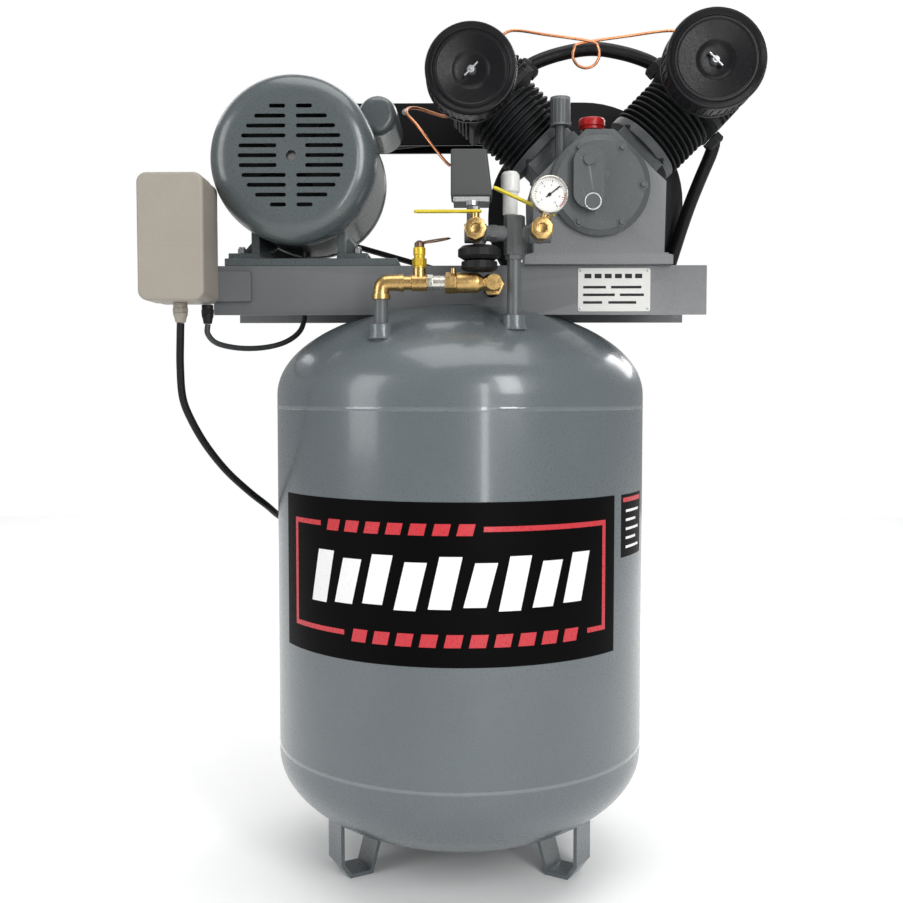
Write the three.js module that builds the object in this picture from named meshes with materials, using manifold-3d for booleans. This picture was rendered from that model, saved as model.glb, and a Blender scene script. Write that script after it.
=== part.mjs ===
// Vertical tank air compressor: a 24 in receiver on three strap feet, with a motor, a belt drive, a V-twin
// pump, an outlet group and a starter box on the platform above it.
// Millimetres, +Z up. X runs to the right and -Y is the front, where the outlet valves are.
import * as THREE from "three";
import { mergeVertices } from "three/addons/utils/BufferGeometryUtils.js";
import Module from "manifold-3d";

const wasm = await Module();
wasm.setup();

const GAP = 0.3; // clearance between neighbours that touch in the real machine

// Receiver
const TANK_RADIUS = 305;
const TANK_WALL = 5;
const HEAD_DEPTH = TANK_RADIUS / 2; // two-to-one ellipsoidal heads
const SHELL_BOTTOM = 188; // height of the lower head's tangent line
const SHELL_TOP = 777; // height of the upper head's tangent line
const FOOT_RADIUS = 196; // centre of a foot's flat bottom, from the receiver's axis
const DRAIN_X = 62;
const DRAIN_Z = 97;

// Platform: an inverted channel welded over the upper head
const PLATFORM_HALF_LENGTH = 391;
const PLATFORM_HALF_WIDTH = 102;
const PLATFORM_BOTTOM = 904;
const PLATFORM_TOP = 981.5;
const PLATFORM_WALL = 6;

// Motor: its shaft runs along Y
const MOTOR_X = -258.5;
const MOTOR_Z = 1145;
const MOTOR_RADIUS = 131;
const FAN_FACE = 100; // radius of the fan cover's flat front
const MOTOR_FRONT = -150;
const MOTOR_BACK = 148;

// Pump: its crankshaft runs along Y, with one cylinder 45 degrees to each side
const PUMP_X = 219;
const PUMP_Z = 1102;
const BANK_ANGLE = Math.PI / 4;
const CASE_FRONT = -118;
const CASE_BACK = 100;
const THROW = 30; // half the stroke
const ROD_LENGTH = 140;
const BORE_RADIUS = 36;
const DECK = 78; // crank centre to the face that a cylinder stands on
const CYLINDER_TOP = 210;
const HEAD_TOP = 275;
const HEAD_HALF = 68;

// Belt drive, behind the platform
const BELT_FRONT = 172;
const BELT_BACK = 200;
const BELT_THICKNESS = 10;
const PULLEY_GROOVE = 68;
const FLYWHEEL_GROOVE = 158;

// Outlet group, in front of the platform
const RISER_X = 83;
const RISER_Y = -204;
const VENT_X = 79;
const VENT_Y = -141; // behind the right lever's swing
const VENT_BOTTOM = 1053;
const VALVE_Z = 1017;
const VALVE_FRONT = -262;
const CHECK_X = -115;
const CHECK_Y = -215;
const CHECK_Z = 943;
const CHECK_END_X = 52;

// Starter box, on a bracket at the platform's left end
const BOX_LEFT = -479.5;
const BOX_RIGHT = -379.5;
const BOX_BOTTOM = 918;
const BOX_TOP = 1108;

// Supply cord
const CORD_RADIUS = 6;
const COIL_TURN_RADIUS = 66; // centre of the coil's tube
const COIL_X = -30;
const COIL_Y = 396;

const group = (...children) => new THREE.Group().add(...children);

function node(name, geometry, color, roughness = 0.5, metalness = 0.3) {
  const mesh = new THREE.Mesh(geometry, new THREE.MeshStandardMaterial({ color, roughness, metalness }));
  mesh.name = name;
  return mesh;
}

// Booleans -----------------------------------------------------------------------------------------------

function toSolid(geometry) {
  const bare = geometry.clone();
  bare.deleteAttribute("normal");
  bare.deleteAttribute("uv");
  const merged = mergeVertices(bare, 1e-4);
  const vertProperties = merged.attributes.position.array;
  const triVerts = new Uint32Array(merged.index.array);
  return new wasm.Manifold(new wasm.Mesh({ numProp: 3, vertProperties, triVerts }));
}

function toGeometry(solid) {
  const mesh = solid.getMesh();
  const geometry = new THREE.BufferGeometry();
  geometry.setAttribute("position", new THREE.BufferAttribute(mesh.vertProperties, 3));
  geometry.setIndex(new THREE.BufferAttribute(mesh.triVerts, 1));
  return geometry;
}

const join = (...parts) => toGeometry(parts.map(toSolid).reduce((a, b) => a.add(b)));
const cut = (body, ...tools) => toGeometry(tools.map(toSolid).reduce((a, b) => a.subtract(b), toSolid(body)));

// Shapes -------------------------------------------------------------------------------------------------

function box(x0, x1, y0, y1, z0, z1) {
  const geometry = new THREE.BoxGeometry(x1 - x0, y1 - y0, z1 - z0);
  return geometry.translate((x0 + x1) / 2, (y0 + y1) / 2, (z0 + z1) / 2);
}

// A solid of revolution about Z from [radius, z] pairs, listed upwards.
function turned(profile, segments = 18) {
  const points = profile.map(([r, z]) => new THREE.Vector2(r, z));
  return new THREE.LatheGeometry(points, segments).rotateX(Math.PI / 2);
}

// A round bar from z0 to z1.
const bar = (r, z0, z1, segments = 14) => turned([[0, z0], [r, z0], [r, z1], [0, z1]], segments);

// Turns a shape made about Z so that its +Z points along +Y, -Y or +X.
const alongY = (geometry) => geometry.rotateX(-Math.PI / 2);
const alongMinusY = (geometry) => geometry.rotateX(Math.PI / 2);
const alongX = (geometry) => geometry.rotateY(Math.PI / 2);

// A plate with the outline given in X and Z, between two values of Y.
function plateXZ(shape, y0, y1, curveSegments = 12) {
  const options = { depth: y1 - y0, bevelEnabled: false, curveSegments };
  return new THREE.ExtrudeGeometry(shape, options).rotateX(Math.PI / 2).translate(0, y1, 0);
}

function polygon(points) {
  return new THREE.Shape(points.map(([x, z]) => new THREE.Vector2(x, z)));
}

function roundedOutline(x0, x1, z0, z1, ...radii) {
  const [lowLeft, lowRight, highRight, highLeft] = radii.length === 1 ? Array(4).fill(radii[0]) : radii;
  const shape = new THREE.Shape();
  shape.moveTo(x0 + lowLeft, z0);
  shape.lineTo(x1 - lowRight, z0);
  shape.absarc(x1 - lowRight, z0 + lowRight, lowRight, -Math.PI / 2, 0);
  shape.lineTo(x1, z1 - highRight);
  shape.absarc(x1 - highRight, z1 - highRight, highRight, 0, Math.PI / 2);
  shape.lineTo(x0 + highLeft, z1);
  shape.absarc(x0 + highLeft, z1 - highLeft, highLeft, Math.PI / 2, Math.PI);
  shape.lineTo(x0, z0 + lowLeft);
  shape.absarc(x0 + lowLeft, z0 + lowLeft, lowLeft, Math.PI, 1.5 * Math.PI);
  return shape;
}

// A round tube along a smooth curve through the points.
function tube(points, radius, steps, sides = 8, tension = 0.5) {
  const path = new THREE.CatmullRomCurve3(
    points.map((p) => new THREE.Vector3(...p)),
    false,
    "catmullrom",
    tension,
  );
  const section = new THREE.Shape();
  for (let i = 0; i < sides; i++) {
    const angle = (i / sides) * 2 * Math.PI;
    const corner = [radius * Math.cos(angle), radius * Math.sin(angle)];
    if (i === 0) section.moveTo(...corner);
    else section.lineTo(...corner);
  }
  return new THREE.ExtrudeGeometry(section, { steps, bevelEnabled: false, extrudePath: path });
}

// Receiver -----------------------------------------------------------------------------------------------

const HULL_SEGMENTS = 36;
const HULL_RINGS = 5;

// The closed outer form of the receiver, grown outwards by `grow`.
function receiverHull(grow, segments, rings) {
  const r = TANK_RADIUS + grow;
  const depth = HEAD_DEPTH + grow;
  const quarter = Array.from({ length: rings + 1 }, (_, i) => (i / rings) * (Math.PI / 2));
  const lower = quarter.map((a) => [r * Math.sin(a), SHELL_BOTTOM - depth * Math.cos(a)]);
  const upper = quarter.map((a) => [r * Math.cos(a), SHELL_TOP + depth * Math.sin(a)]);
  lower[0][0] = 0;
  upper[rings][0] = 0;
  return turned([...lower, ...upper], segments);
}

const headHeight = (r) => SHELL_TOP + HEAD_DEPTH * Math.sqrt(1 - (r / TANK_RADIUS) ** 2);

function tank() {
  const bossRadius = 17;
  const riserBoss = headHeight(Math.hypot(RISER_X, RISER_Y));
  const checkBoss = headHeight(Math.hypot(CHECK_X, CHECK_Y));
  const body = join(
    receiverHull(0, HULL_SEGMENTS, HULL_RINGS),
    bar(bossRadius, riserBoss - 20, riserBoss + 14, 12).translate(RISER_X, RISER_Y, 0),
    bar(bossRadius, checkBoss - 20, checkBoss + 14, 12).translate(CHECK_X, CHECK_Y, 0),
    alongY(bar(14, 225, 262, 12)).translate(DRAIN_X, 0, DRAIN_Z),
    cordClip(),
  );
  return node(
    "tank",
    cut(
      body,
      receiverHull(-TANK_WALL, HULL_SEGMENTS, HULL_RINGS),
      bar(11, riserBoss - 40, riserBoss + 15, 12).translate(RISER_X, RISER_Y, 0),
      bar(11, checkBoss - 40, checkBoss + 15, 12).translate(CHECK_X, CHECK_Y, 0),
      alongY(bar(7, 200, 263, 12)).translate(DRAIN_X, 0, DRAIN_Z),
      clipHole(),
    ),
    "#6d7579",
    0.25,
    0.4,
  );
}

// The P-clip at the back of the receiver that the supply cord hangs from.
const CLIP_ANGLE = 0.62; // from +Y towards -X
const CLIP_REACH = TANK_RADIUS + 8;
const CLIP_X = -CLIP_REACH * Math.sin(CLIP_ANGLE);
const CLIP_Y = CLIP_REACH * Math.cos(CLIP_ANGLE);
const CLIP_Z = 425;
const cordClip = () => bar(CORD_RADIUS + 6, CLIP_Z - 8, CLIP_Z + 8, 12).translate(CLIP_X, CLIP_Y, 0);
const clipHole = () => bar(CORD_RADIUS + 1, CLIP_Z - 9, CLIP_Z + 9, 12).translate(CLIP_X, CLIP_Y, 0);

// A strap foot: flat bottom, chamfered outer arm, sloping inner arm, trimmed to the lower head.
function foot(name, azimuth) {
  const thickness = 6;
  const halfWidth = 26;
  const reach = FOOT_RADIUS - 20; // inner end of the flat bottom
  const outline = polygon([
    [reach, 0],
    [reach + 40, 0],
    [reach + 56, 22],
    [reach + 56, 130],
    [reach + 56 - thickness, 130],
    [reach + 56 - thickness, 24],
    [reach + 37, thickness],
    [reach + 4, thickness],
    [reach - 24, 105],
    [reach - 30, 105],
  ]);
  const headAbove = receiverHull(GAP, HULL_SEGMENTS, HULL_RINGS).rotateZ(-azimuth);
  const strap = cut(plateXZ(outline, -halfWidth, halfWidth), headAbove);
  return node(name, strap.rotateZ(azimuth), "#6d7579", 0.35, 0.4);
}

function drainCock() {
  const body = join(
    alongY(bar(6.6, 250, 272, 12)),
    alongY(bar(11, 262.3, 288, 6)),
    bar(6, -24, 0, 12).translate(0, 281, 0),
    alongY(bar(4, 280, 293, 12)),
  );
  const key = join(alongY(bar(5, 293.3, 299, 12)), box(-15, 15, 294.5, 298, -4, 4));
  return group(
    node("drain_cock_body", body.translate(DRAIN_X, 0, DRAIN_Z), "#b08d4a", 0.35, 0.9),
    node("drain_cock_handle", key.translate(DRAIN_X, 0, DRAIN_Z), "#b08d4a", 0.35, 0.9),
  );
}

// Platform -----------------------------------------------------------------------------------------------

const LEAD_X = -262; // where the motor lead passes up through the platform
const LEAD_Y = 6;
const TUBE_HOLE_X = 350; // where the discharge tube enters the channel from behind

function platform() {
  const w = PLATFORM_WALL;
  const [x, y] = [PLATFORM_HALF_LENGTH, PLATFORM_HALF_WIDTH];
  const channel = box(-x, x, -y, y, PLATFORM_BOTTOM, PLATFORM_TOP);
  const inside = box(-x - 1, x + 1, w - y, y - w, PLATFORM_BOTTOM - 1, PLATFORM_TOP - w);
  const leadHole = bar(11, PLATFORM_TOP - 20, PLATFORM_TOP + 5, 12).translate(LEAD_X, LEAD_Y, 0);
  const frontHole = alongY(bar(14, -y - 5, 10 - y, 12)).translate(CHECK_END_X, 0, CHECK_Z + 2);
  const backHole = alongY(bar(14, y - 10, y + 5, 12)).translate(TUBE_HOLE_X, 0, CHECK_Z);
  return node(
    "platform",
    cut(channel, inside, receiverHull(GAP, HULL_SEGMENTS, HULL_RINGS), leadHole, frontHole, backHole),
    "#6b7276",
    0.4,
    0.35,
  );
}

// Motor --------------------------------------------------------------------------------------------------

function louvres() {
  const slots = [];
  const pitch = 15;
  for (let row = -5; row <= 5; row++) {
    const z = row * pitch;
    const reach = Math.sqrt(81 ** 2 - z ** 2);
    const inner = Math.abs(row) < 2 ? 22 : 9;
    for (const side of [-1, 1]) {
      const [a, b] = [side * inner, side * reach].sort((p, q) => p - q);
      slots.push(box(a, b, -10, 10, z - 2.6, z + 2.6));
    }
  }
  return slots;
}

function motor() {
  const r = MOTOR_RADIUS;
  const wall = 2.5;
  const cover = turned(
    [
      [0, 0], [FAN_FACE, 0], [r - 12, 5], [r - 3, 16], [r, 30], [r, 58],
      [r - wall, 58], [r - wall, 32], [r - 6, 18], [r - 14, 8], [FAN_FACE - 1, wall], [0, wall],
    ],
    24,
  );
  const fanCover = cut(alongY(cover), ...louvres(), alongY(bar(9, -5, 10, 12)));
  fanCover.translate(0, MOTOR_FRONT, 0);

  const [frameFront, frameBack] = [MOTOR_FRONT + 58 + GAP, 108];
  const footTop = PLATFORM_TOP + GAP - MOTOR_Z;
  const basePlate = box(-115, 160, -101, 100, footTop, footTop + 12);
  const [footInner, footOuter] = [62, 112];
  const foot = (side) => {
    const [x0, x1] = [side * footInner, side * footOuter].sort((a, b) => a - b);
    const [c0, c1] = [side * footInner, side * (footInner + 14)].sort((a, b) => a - b);
    return join(box(x0, x1, -86, 98, footTop + 11, footTop + 22), box(c0, c1, -80, 92, footTop + 11, -88));
  };
  const frame = cut(
    join(alongY(bar(r - 3, frameFront, frameBack, 24)), basePlate, foot(-1), foot(1)),
    alongY(bar(56, frameFront + 20, frameBack + 1, 18)),
    alongY(bar(14, frameFront - 1, frameFront + 30, 12)),
    bar(7, -r, -70, 12).translate(LEAD_X - MOTOR_X, LEAD_Y, 0),
    bar(11, footTop - 1, footTop + 13, 12).translate(LEAD_X - MOTOR_X, LEAD_Y, 0),
  );
  const bell = turned(
    [
      [13, frameBack + GAP], [r - 4, frameBack + GAP], [r - 4, 118], [r - 30, 130],
      [58, 142], [52, MOTOR_BACK], [13, MOTOR_BACK], [13, frameBack + GAP],
    ],
    32,
  );

  const shaft = join(
    alongY(bar(12, -138, 214, 12)),
    alongY(bar(54, frameFront + 28, frameBack - 8, 18)),
  );
  const fan = cut(join(...fanBlades(), alongY(bar(22, -136, -104, 12))), alongY(bar(12 + GAP, -140, -100, 12)));

  const pulley = cut(
    alongY(
      turned(
        [
          [12 + GAP, BELT_FRONT - 12], [34, BELT_FRONT - 12], [34, BELT_FRONT - 5], [78, BELT_FRONT - 5],
          [78, BELT_FRONT - 1], [PULLEY_GROOVE, BELT_FRONT - 1], [PULLEY_GROOVE, BELT_BACK + 1],
          [78, BELT_BACK + 1], [78, BELT_BACK + 5], [12 + GAP, BELT_BACK + 5], [12 + GAP, BELT_FRONT - 12],
        ],
        20,
      ),
    ),
    ...[0, 1, 2, 3].map((i) => {
      const a = (i + 0.5) * (Math.PI / 2);
      const hole = alongY(bar(13, BELT_FRONT - 20, BELT_BACK + 20, 12));
      return hole.translate(49 * Math.cos(a), 0, 49 * Math.sin(a));
    }),
  );

  const capacitorX = 127.5;
  const capacitorZ = 79;
  const capacitor = cut(
    join(
      alongY(turned([[0, -82], [20, -82], [29, -77], [32, -66], [32, 62], [26, 70], [0, 70]], 16)).translate(
        capacitorX,
        0,
        capacitorZ,
      ),
      box(-44, 10, -60, 56, -14, 14).rotateY(-0.57).translate(capacitorX, 0, capacitorZ),
    ),
    alongY(bar(r - 3 + GAP, -140, 140, 24)),
  );

  const parts = group(
    node("motor_fan_cover", fanCover, "#6b777a", 0.3, 0.4),
    node("motor_frame", frame, "#66706f", 0.4, 0.4),
    node("motor_end_bell", alongY(bell), "#66706f", 0.4, 0.4),
    node("motor_shaft", shaft, "#a9abad", 0.3, 0.9),
    node("motor_fan", fan, "#2a2c2d", 0.6, 0),
    node("motor_pulley", pulley, "#2b2c2d", 0.5, 0.5),
    node("capacitor_cover", capacitor, "#66706f", 0.4, 0.4),
  );
  parts.position.set(MOTOR_X, 0, MOTOR_Z);
  return parts;
}

function fanBlades() {
  const blades = [];
  for (let i = 0; i < 7; i++) {
    blades.push(box(18, 102, -132, -108, -1.5, 1.5).rotateY((i / 7) * 2 * Math.PI));
  }
  return blades;
}

// Belt drive ---------------------------------------------------------------------------------------------

// The loop around both wheels, at a distance `out` beyond their grooves.
function beltLoop(out) {
  const [a, b] = [new THREE.Vector2(MOTOR_X, MOTOR_Z), new THREE.Vector2(PUMP_X, PUMP_Z)];
  const [ra, rb] = [PULLEY_GROOVE + out, FLYWHEEL_GROOVE + out];
  const line = b.clone().sub(a);
  const tilt = line.angle();
  const lean = Math.asin((rb - ra) / line.length());
  const top = Math.PI / 2 + lean;
  const shape = new THREE.Shape();
  shape.absarc(a.x, a.y, ra, tilt + top, tilt - top + 2 * Math.PI, false);
  shape.absarc(b.x, b.y, rb, tilt - top, tilt + top, false);
  return shape;
}

function driveBelt() {
  const loop = beltLoop(BELT_THICKNESS);
  loop.holes.push(beltLoop(GAP * 1.5));
  return node("drive_belt", plateXZ(loop, BELT_FRONT, BELT_BACK, 16), "#17181a", 0.8, 0);
}

function beltGuard() {
  const [x0, x1, z0, z1] = [-360, 400, 912, 1301];
  const skin = 2.5;
  const [front, back] = [150, 224];
  const flange = 75; // how far the side flanges reach in from the rim
  const outline = (inset) =>
    roundedOutline(
      x0 + inset, x1 - inset, z0 + inset, z1 - inset,
      ...[100, 180, 180, 100].map((r) => Math.max(r - inset, 8)),
    );
  const ring = cut(
    plateXZ(outline(0), front, back, 5),
    plateXZ(outline(skin), front + skin, back - skin, 5),
    plateXZ(outline(flange), front - 1, back + 1, 5),
  );
  const y = PLATFORM_HALF_WIDTH + GAP;
  const tabs = [-220, 180].map((x) => box(x, x + 50, y, front + 1, 940, 970));
  return node("belt_guard", join(ring, ...tabs), "#1c1e20", 0.45, 0.3);
}

// Pump ---------------------------------------------------------------------------------------------------

function crankcase() {
  const half = 47; // half the width of a cylinder's deck
  const deckPoint = (side, across) => [
    side * (DECK + across) * Math.SQRT1_2,
    (DECK - across) * Math.SQRT1_2,
  ];
  const foot = PLATFORM_TOP + GAP - PUMP_Z;
  const outline = polygon([
    [-116, foot], [116, foot], [116, foot + 14], [102, foot + 18], [104, 8],
    deckPoint(1, half), deckPoint(1, -half), deckPoint(-1, -half), deckPoint(-1, half),
    [-104, 8], [-102, foot + 18], [-116, foot + 14],
  ]);
  const neck = bar(15, 60, 113, 16);
  const breather = join(bar(8, 40, 100, 12), bar(16, 98, 142, 16)).translate(-60, -96, 0);
  const rearBoss = alongY(bar(48, CASE_BACK - 2, CASE_BACK + 22, 20));
  const bores = [-1, 1].map((side) =>
    bar(BORE_RADIUS + 1, 30, DECK + 20, 18).rotateY(side * BANK_ANGLE),
  );
  return cut(
    join(plateXZ(outline, CASE_FRONT, CASE_BACK), neck, breather, rearBoss),
    alongY(bar(68, CASE_FRONT + 14, CASE_BACK - 34, 20)),
    alongY(bar(50, CASE_FRONT - 1, CASE_FRONT + 20, 18)),
    alongY(bar(21, CASE_BACK - 40, CASE_BACK + 30, 18)),
    bar(9, 40, 114, 12),
    ...bores,
  );
}

function bearingCover() {
  const disc = alongMinusY(turned([[0, GAP], [78, GAP], [78, 8], [70, 13], [0, 13]], 24));
  const boss = plateXZ(roundedOutline(-43, 5, -38, 57, 23.9), -28, -4, 5);
  const eyelet = alongY(bar(11 + GAP, -40, -22, 12)).translate(-13, 0, -28);
  const filler = alongY(bar(9, -40, -18, 12)).translate(-19, 0, 36);
  return cut(join(disc, boss), eyelet, filler).translate(0, CASE_FRONT, 0);
}

function crankshaft() {
  return join(
    alongY(bar(50, 23, 42, 20)),
    alongY(bar(20, 41, CASE_BACK + 24, 18)),
    alongY(bar(16, CASE_BACK + 23, 214, 18)),
  );
}

function flywheel() {
  const rimInner = 136;
  const hubRadius = 34;
  const [front, back] = [BELT_FRONT - 1, BELT_BACK + 1];
  const rim = turned(
    [
      [rimInner, front - 8], [FLYWHEEL_GROOVE + 11, front - 8], [FLYWHEEL_GROOVE + 11, front],
      [FLYWHEEL_GROOVE, front], [FLYWHEEL_GROOVE, back], [FLYWHEEL_GROOVE + 11, back],
      [FLYWHEEL_GROOVE + 11, back + 8], [rimInner, back + 8], [rimInner, front - 8],
    ],
    28,
  );
  const spokes = [];
  for (let i = 0; i < 5; i++) {
    const spoke = box(hubRadius - 8, rimInner + 4, front + 4, back - 4, -14, 14);
    spokes.push(spoke.rotateY((i / 5) * 2 * Math.PI));
  }
  const hub = alongY(bar(hubRadius, front - 10, back + 8, 18));
  return cut(join(alongY(rim), hub, ...spokes), alongY(bar(16 + GAP, 150, 230, 18)));
}

function cylinder() {
  const base = box(-47, 47, -58, 58, DECK + GAP, 112);
  const barrel = bar(66, 110, CYLINDER_TOP, 18);
  return cut(join(base, barrel), bar(BORE_RADIUS, DECK - 1, CYLINDER_TOP + 1, 18));
}

function cylinderHead() {
  const h = HEAD_HALF;
  const outline = roundedOutline(-h, h, -h, h, 16);
  const block = new THREE.ExtrudeGeometry(outline, {
    depth: HEAD_TOP - CYLINDER_TOP - GAP,
    bevelEnabled: false,
    curveSegments: 4,
  });
  return block.translate(0, 0, CYLINDER_TOP + GAP);
}

function piston() {
  const rest = Math.sqrt(ROD_LENGTH ** 2 - (THROW * Math.SQRT1_2) ** 2) + THROW * Math.SQRT1_2;
  const crown = bar(BORE_RADIUS - 2 * GAP, rest - 24, rest + 28, 18);
  const hollow = cut(crown, bar(BORE_RADIUS - 7, rest - 25, rest + 18, 16));
  const pin = alongY(bar(8, 3 - BORE_RADIUS, BORE_RADIUS - 3, 12)).translate(0, 0, rest);
  return { rest, body: join(hollow, pin) };
}

// The rod in its bank's own frame; `side` says which way the crankpin lies from the bank's axis.
function connectingRod(side, rest) {
  const pinZ = THROW * Math.SQRT1_2;
  const pinX = -side * THROW * Math.SQRT1_2;
  const middle = side * 11; // left and right rods share the crankpin side by side
  const [y0, y1] = [-middle - 9.5, -middle + 9.5];
  const length = Math.hypot(pinX, rest - pinZ);
  const shank = box(-8, 8, y0 + 3, y1 - 3, 0, length - 12);
  const small = cut(alongY(bar(14, y0, y1, 16)), alongY(bar(8 + GAP, y0 - 1, y1 + 1, 12)));
  const big = alongY(bar(24, y0, y1, 18));
  const angle = Math.atan2(-pinX, rest - pinZ);
  return join(
    cut(shank.rotateY(angle).translate(pinX, 0, pinZ), alongY(bar(9, -40, 40, 12)).translate(0, 0, rest)),
    small.translate(0, 0, rest),
    big.translate(pinX, 0, pinZ),
  );
}

// A round intake filter facing the front, joined to the head's front face by a short neck.
function airFilter(x, z, radius) {
  const [front, back] = [-200, -140];
  const canister = alongY(
    turned(
      [
        [0, front + 16], [22, front + 16], [30, front + 10], [radius - 16, front + 4], [radius - 6, front],
        [radius, front + 4], [radius, back - 8], [radius - 7, back], [0, back],
      ],
      20,
    ),
  );
  const neck = alongY(bar(24, back - 1, -HEAD_HALF - GAP, 16));
  const nut = alongY(bar(7, front + 4, front + 17, 6));
  return join(canister, neck, nut).translate(x, 0, z);
}

function bank(side, name, filter) {
  const { rest, body } = piston();
  const parts = group(
    node("cylinder_" + name, cylinder(), "#3a3f42", 0.55, 0.4),
    node("cylinder_head_" + name, cylinderHead(), "#222527", 0.5, 0.4),
    node("piston_" + name, body, "#b9bcbe", 0.3, 0.9),
    node("connecting_rod_" + name, connectingRod(side, rest), "#9c9ea0", 0.4, 0.9),
    node("air_filter_" + name, airFilter(filter.x, filter.z, filter.radius), "#141516", 0.35, 0.1),
  );
  parts.rotation.y = side * BANK_ANGLE;
  return parts;
}

function pump() {
  const cap = turned([[0, 113 + GAP], [22, 113 + GAP], [22, 129], [17, 133], [0, 133]], 18);
  const glass = alongY(bar(10.2, CASE_FRONT - 31, CASE_FRONT - 22 - GAP, 16)).translate(-13, 0, -28);
  const parts = group(
    node("crankcase", crankcase(), "#6b7478", 0.4, 0.4),
    node("bearing_cover", bearingCover(), "#6b7478", 0.4, 0.4),
    node("oil_sight_glass", glass, "#8c8375", 0.1, 0),
    node("oil_filler_cap", cap, "#c2202c", 0.4, 0),
    node("crankshaft", crankshaft(), "#a9abad", 0.3, 0.9),
    node("flywheel", flywheel(), "#2b2d2f", 0.5, 0.5),
    bank(-1, "left", { x: -29, z: 255, radius: 69 }),
    bank(1, "right", { x: -6.8, z: 236.8, radius: 75 }),
  );
  parts.position.set(PUMP_X, 0, PUMP_Z);
  return parts;
}

// Tubes --------------------------------------------------------------------------------------------------

// A point given along and across one cylinder bank, in the machine's frame.
function onBank(side, across, y, along) {
  const x = side * along + across;
  const z = along - side * across;
  return [PUMP_X + x * Math.SQRT1_2, y, PUMP_Z + z * Math.SQRT1_2];
}

function crossoverTube() {
  const out = HEAD_HALF + 3 * GAP;
  const points = [
    onBank(-1, out, 0, 226),
    onBank(-1, out + 20, 0, 227),
    [166, 0, 1341],
    [PUMP_X, 0, 1349],
    [272, 0, 1341],
    onBank(1, -out - 20, 0, 227),
    onBank(1, -out, 0, 226),
  ];
  return node("crossover_tube", tube(points, 11.5, 18, 8), "#33383b", 0.4, 0.5);
}

function dischargeTube() {
  const points = [
    onBank(1, HEAD_HALF + GAP, 40, 222),
    onBank(1, HEAD_HALF + 9, 40, 222),
    [427, 49, 1186],
    [415, 66, 1152],
    [402, 88, 1112],
    [391, 108, 1072],
    [382, 123, 1036],
    [373, 131, 1003],
    [363, 134, 970],
    [TUBE_HOLE_X + 1, 122, 948],
    [TUBE_HOLE_X, 98, CHECK_Z],
    [TUBE_HOLE_X - 14, 62, 947],
    [290, 24, 951],
    [205, -2, 952],
    [120, -22, 952],
    [72, -50, 950],
    [CHECK_END_X + 1, -90, CHECK_Z + 3],
    [CHECK_END_X, -125, CHECK_Z + 1],
    [CHECK_END_X, -165, CHECK_Z],
    [CHECK_END_X, CHECK_Y + 22 + GAP, CHECK_Z],
  ];
  return node("discharge_tube", tube(points, 11, 46, 8), "#2b2f32", 0.4, 0.6);
}

// The thin copper line between the heads' unloaders, with its single hanging loop.
function unloaderTube() {
  const y = -58;
  const loop = { x: 203, z: 1322, r: 21 };
  const turn = Array.from({ length: 9 }, (_, i) => {
    const a = Math.PI * (0.62 + (i / 8) * 1.76);
    return [loop.x - loop.r * Math.cos(a), y - 4 + i, loop.z + loop.r * Math.sin(a)];
  });
  const points = [
    onBank(-1, 60, y, HEAD_TOP + 3 * GAP),
    onBank(-1, 62, y, HEAD_TOP + 8),
    [84, y - 2, 1360],
    [140, y - 5, 1352],
    ...turn,
    [270, y + 3, 1352],
    [340, y + 3, 1360],
    onBank(1, -64, y, HEAD_TOP + 10),
    onBank(1, -60, y, HEAD_TOP + 3 * GAP),
  ];
  return node("unloader_tube", tube(points, 2.4, 44, 5), "#a8714c", 0.35, 0.9);
}

function pilotTube() {
  const points = [
    onBank(-1, -HEAD_HALF - GAP, -40, 262),
    onBank(-1, -HEAD_HALF - 14, -42, 262),
    [-70, -70, 1236],
    [-84, -100, 1222],
    [-66, -125, 1196],
    [-42, -140, 1162],
    [-22, -149, 1136],
    [-13.5, -150, 1128],
  ];
  return node("pilot_tube", tube(points, 2.4, 18, 5), "#a8714c", 0.35, 0.9);
}

// Outlet group -------------------------------------------------------------------------------------------

const GAUGE_LEAN = 0.21; // the gauge leans to the right of its valve
const RIGHT_ROLL = 0.43; // the right valve is screwed in with its stem leaning to the right
const LEFT_VALVE_X = 25;
const RIGHT_VALVE_X = 121;

function outletManifold() {
  const low = headHeight(Math.hypot(RISER_X, RISER_Y)) + 2;
  const riser = bar(10.6, low, 985, 16);
  const block = box(-16, 16, -16, 16, 978, 1043);
  const run = alongX(bar(12, LEFT_VALVE_X - 16 - RISER_X, RIGHT_VALVE_X + 16 - RISER_X, 12));
  const ports = [LEFT_VALVE_X, RIGHT_VALVE_X].map((x) =>
    alongY(bar(14, -14, 14, 12)).translate(x - RISER_X, 0, VALVE_Z),
  );
  const switchStem = bar(8, VALVE_Z, 1060, 12).translate(-63, 14, 0);
  const ventBranch = alongY(bar(6, 0, VENT_Y - RISER_Y, 12)).translate(VENT_X - RISER_X, 0, 1034);
  const ventStem = bar(6, 1028, VENT_BOTTOM, 12).translate(VENT_X - RISER_X, VENT_Y - RISER_Y, 0);
  const regulatorStem = bar(9, 1000, VALVE_Z, 12).translate(-52, 0, 0);
  const stems = [switchStem, ventBranch, ventStem, regulatorStem];
  const body = join(riser, block, run.translate(0, 0, VALVE_Z), ...ports, ...stems);
  return node("outlet_manifold", body.translate(RISER_X, RISER_Y, 0), "#6f7679", 0.4, 0.5);
}

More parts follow.
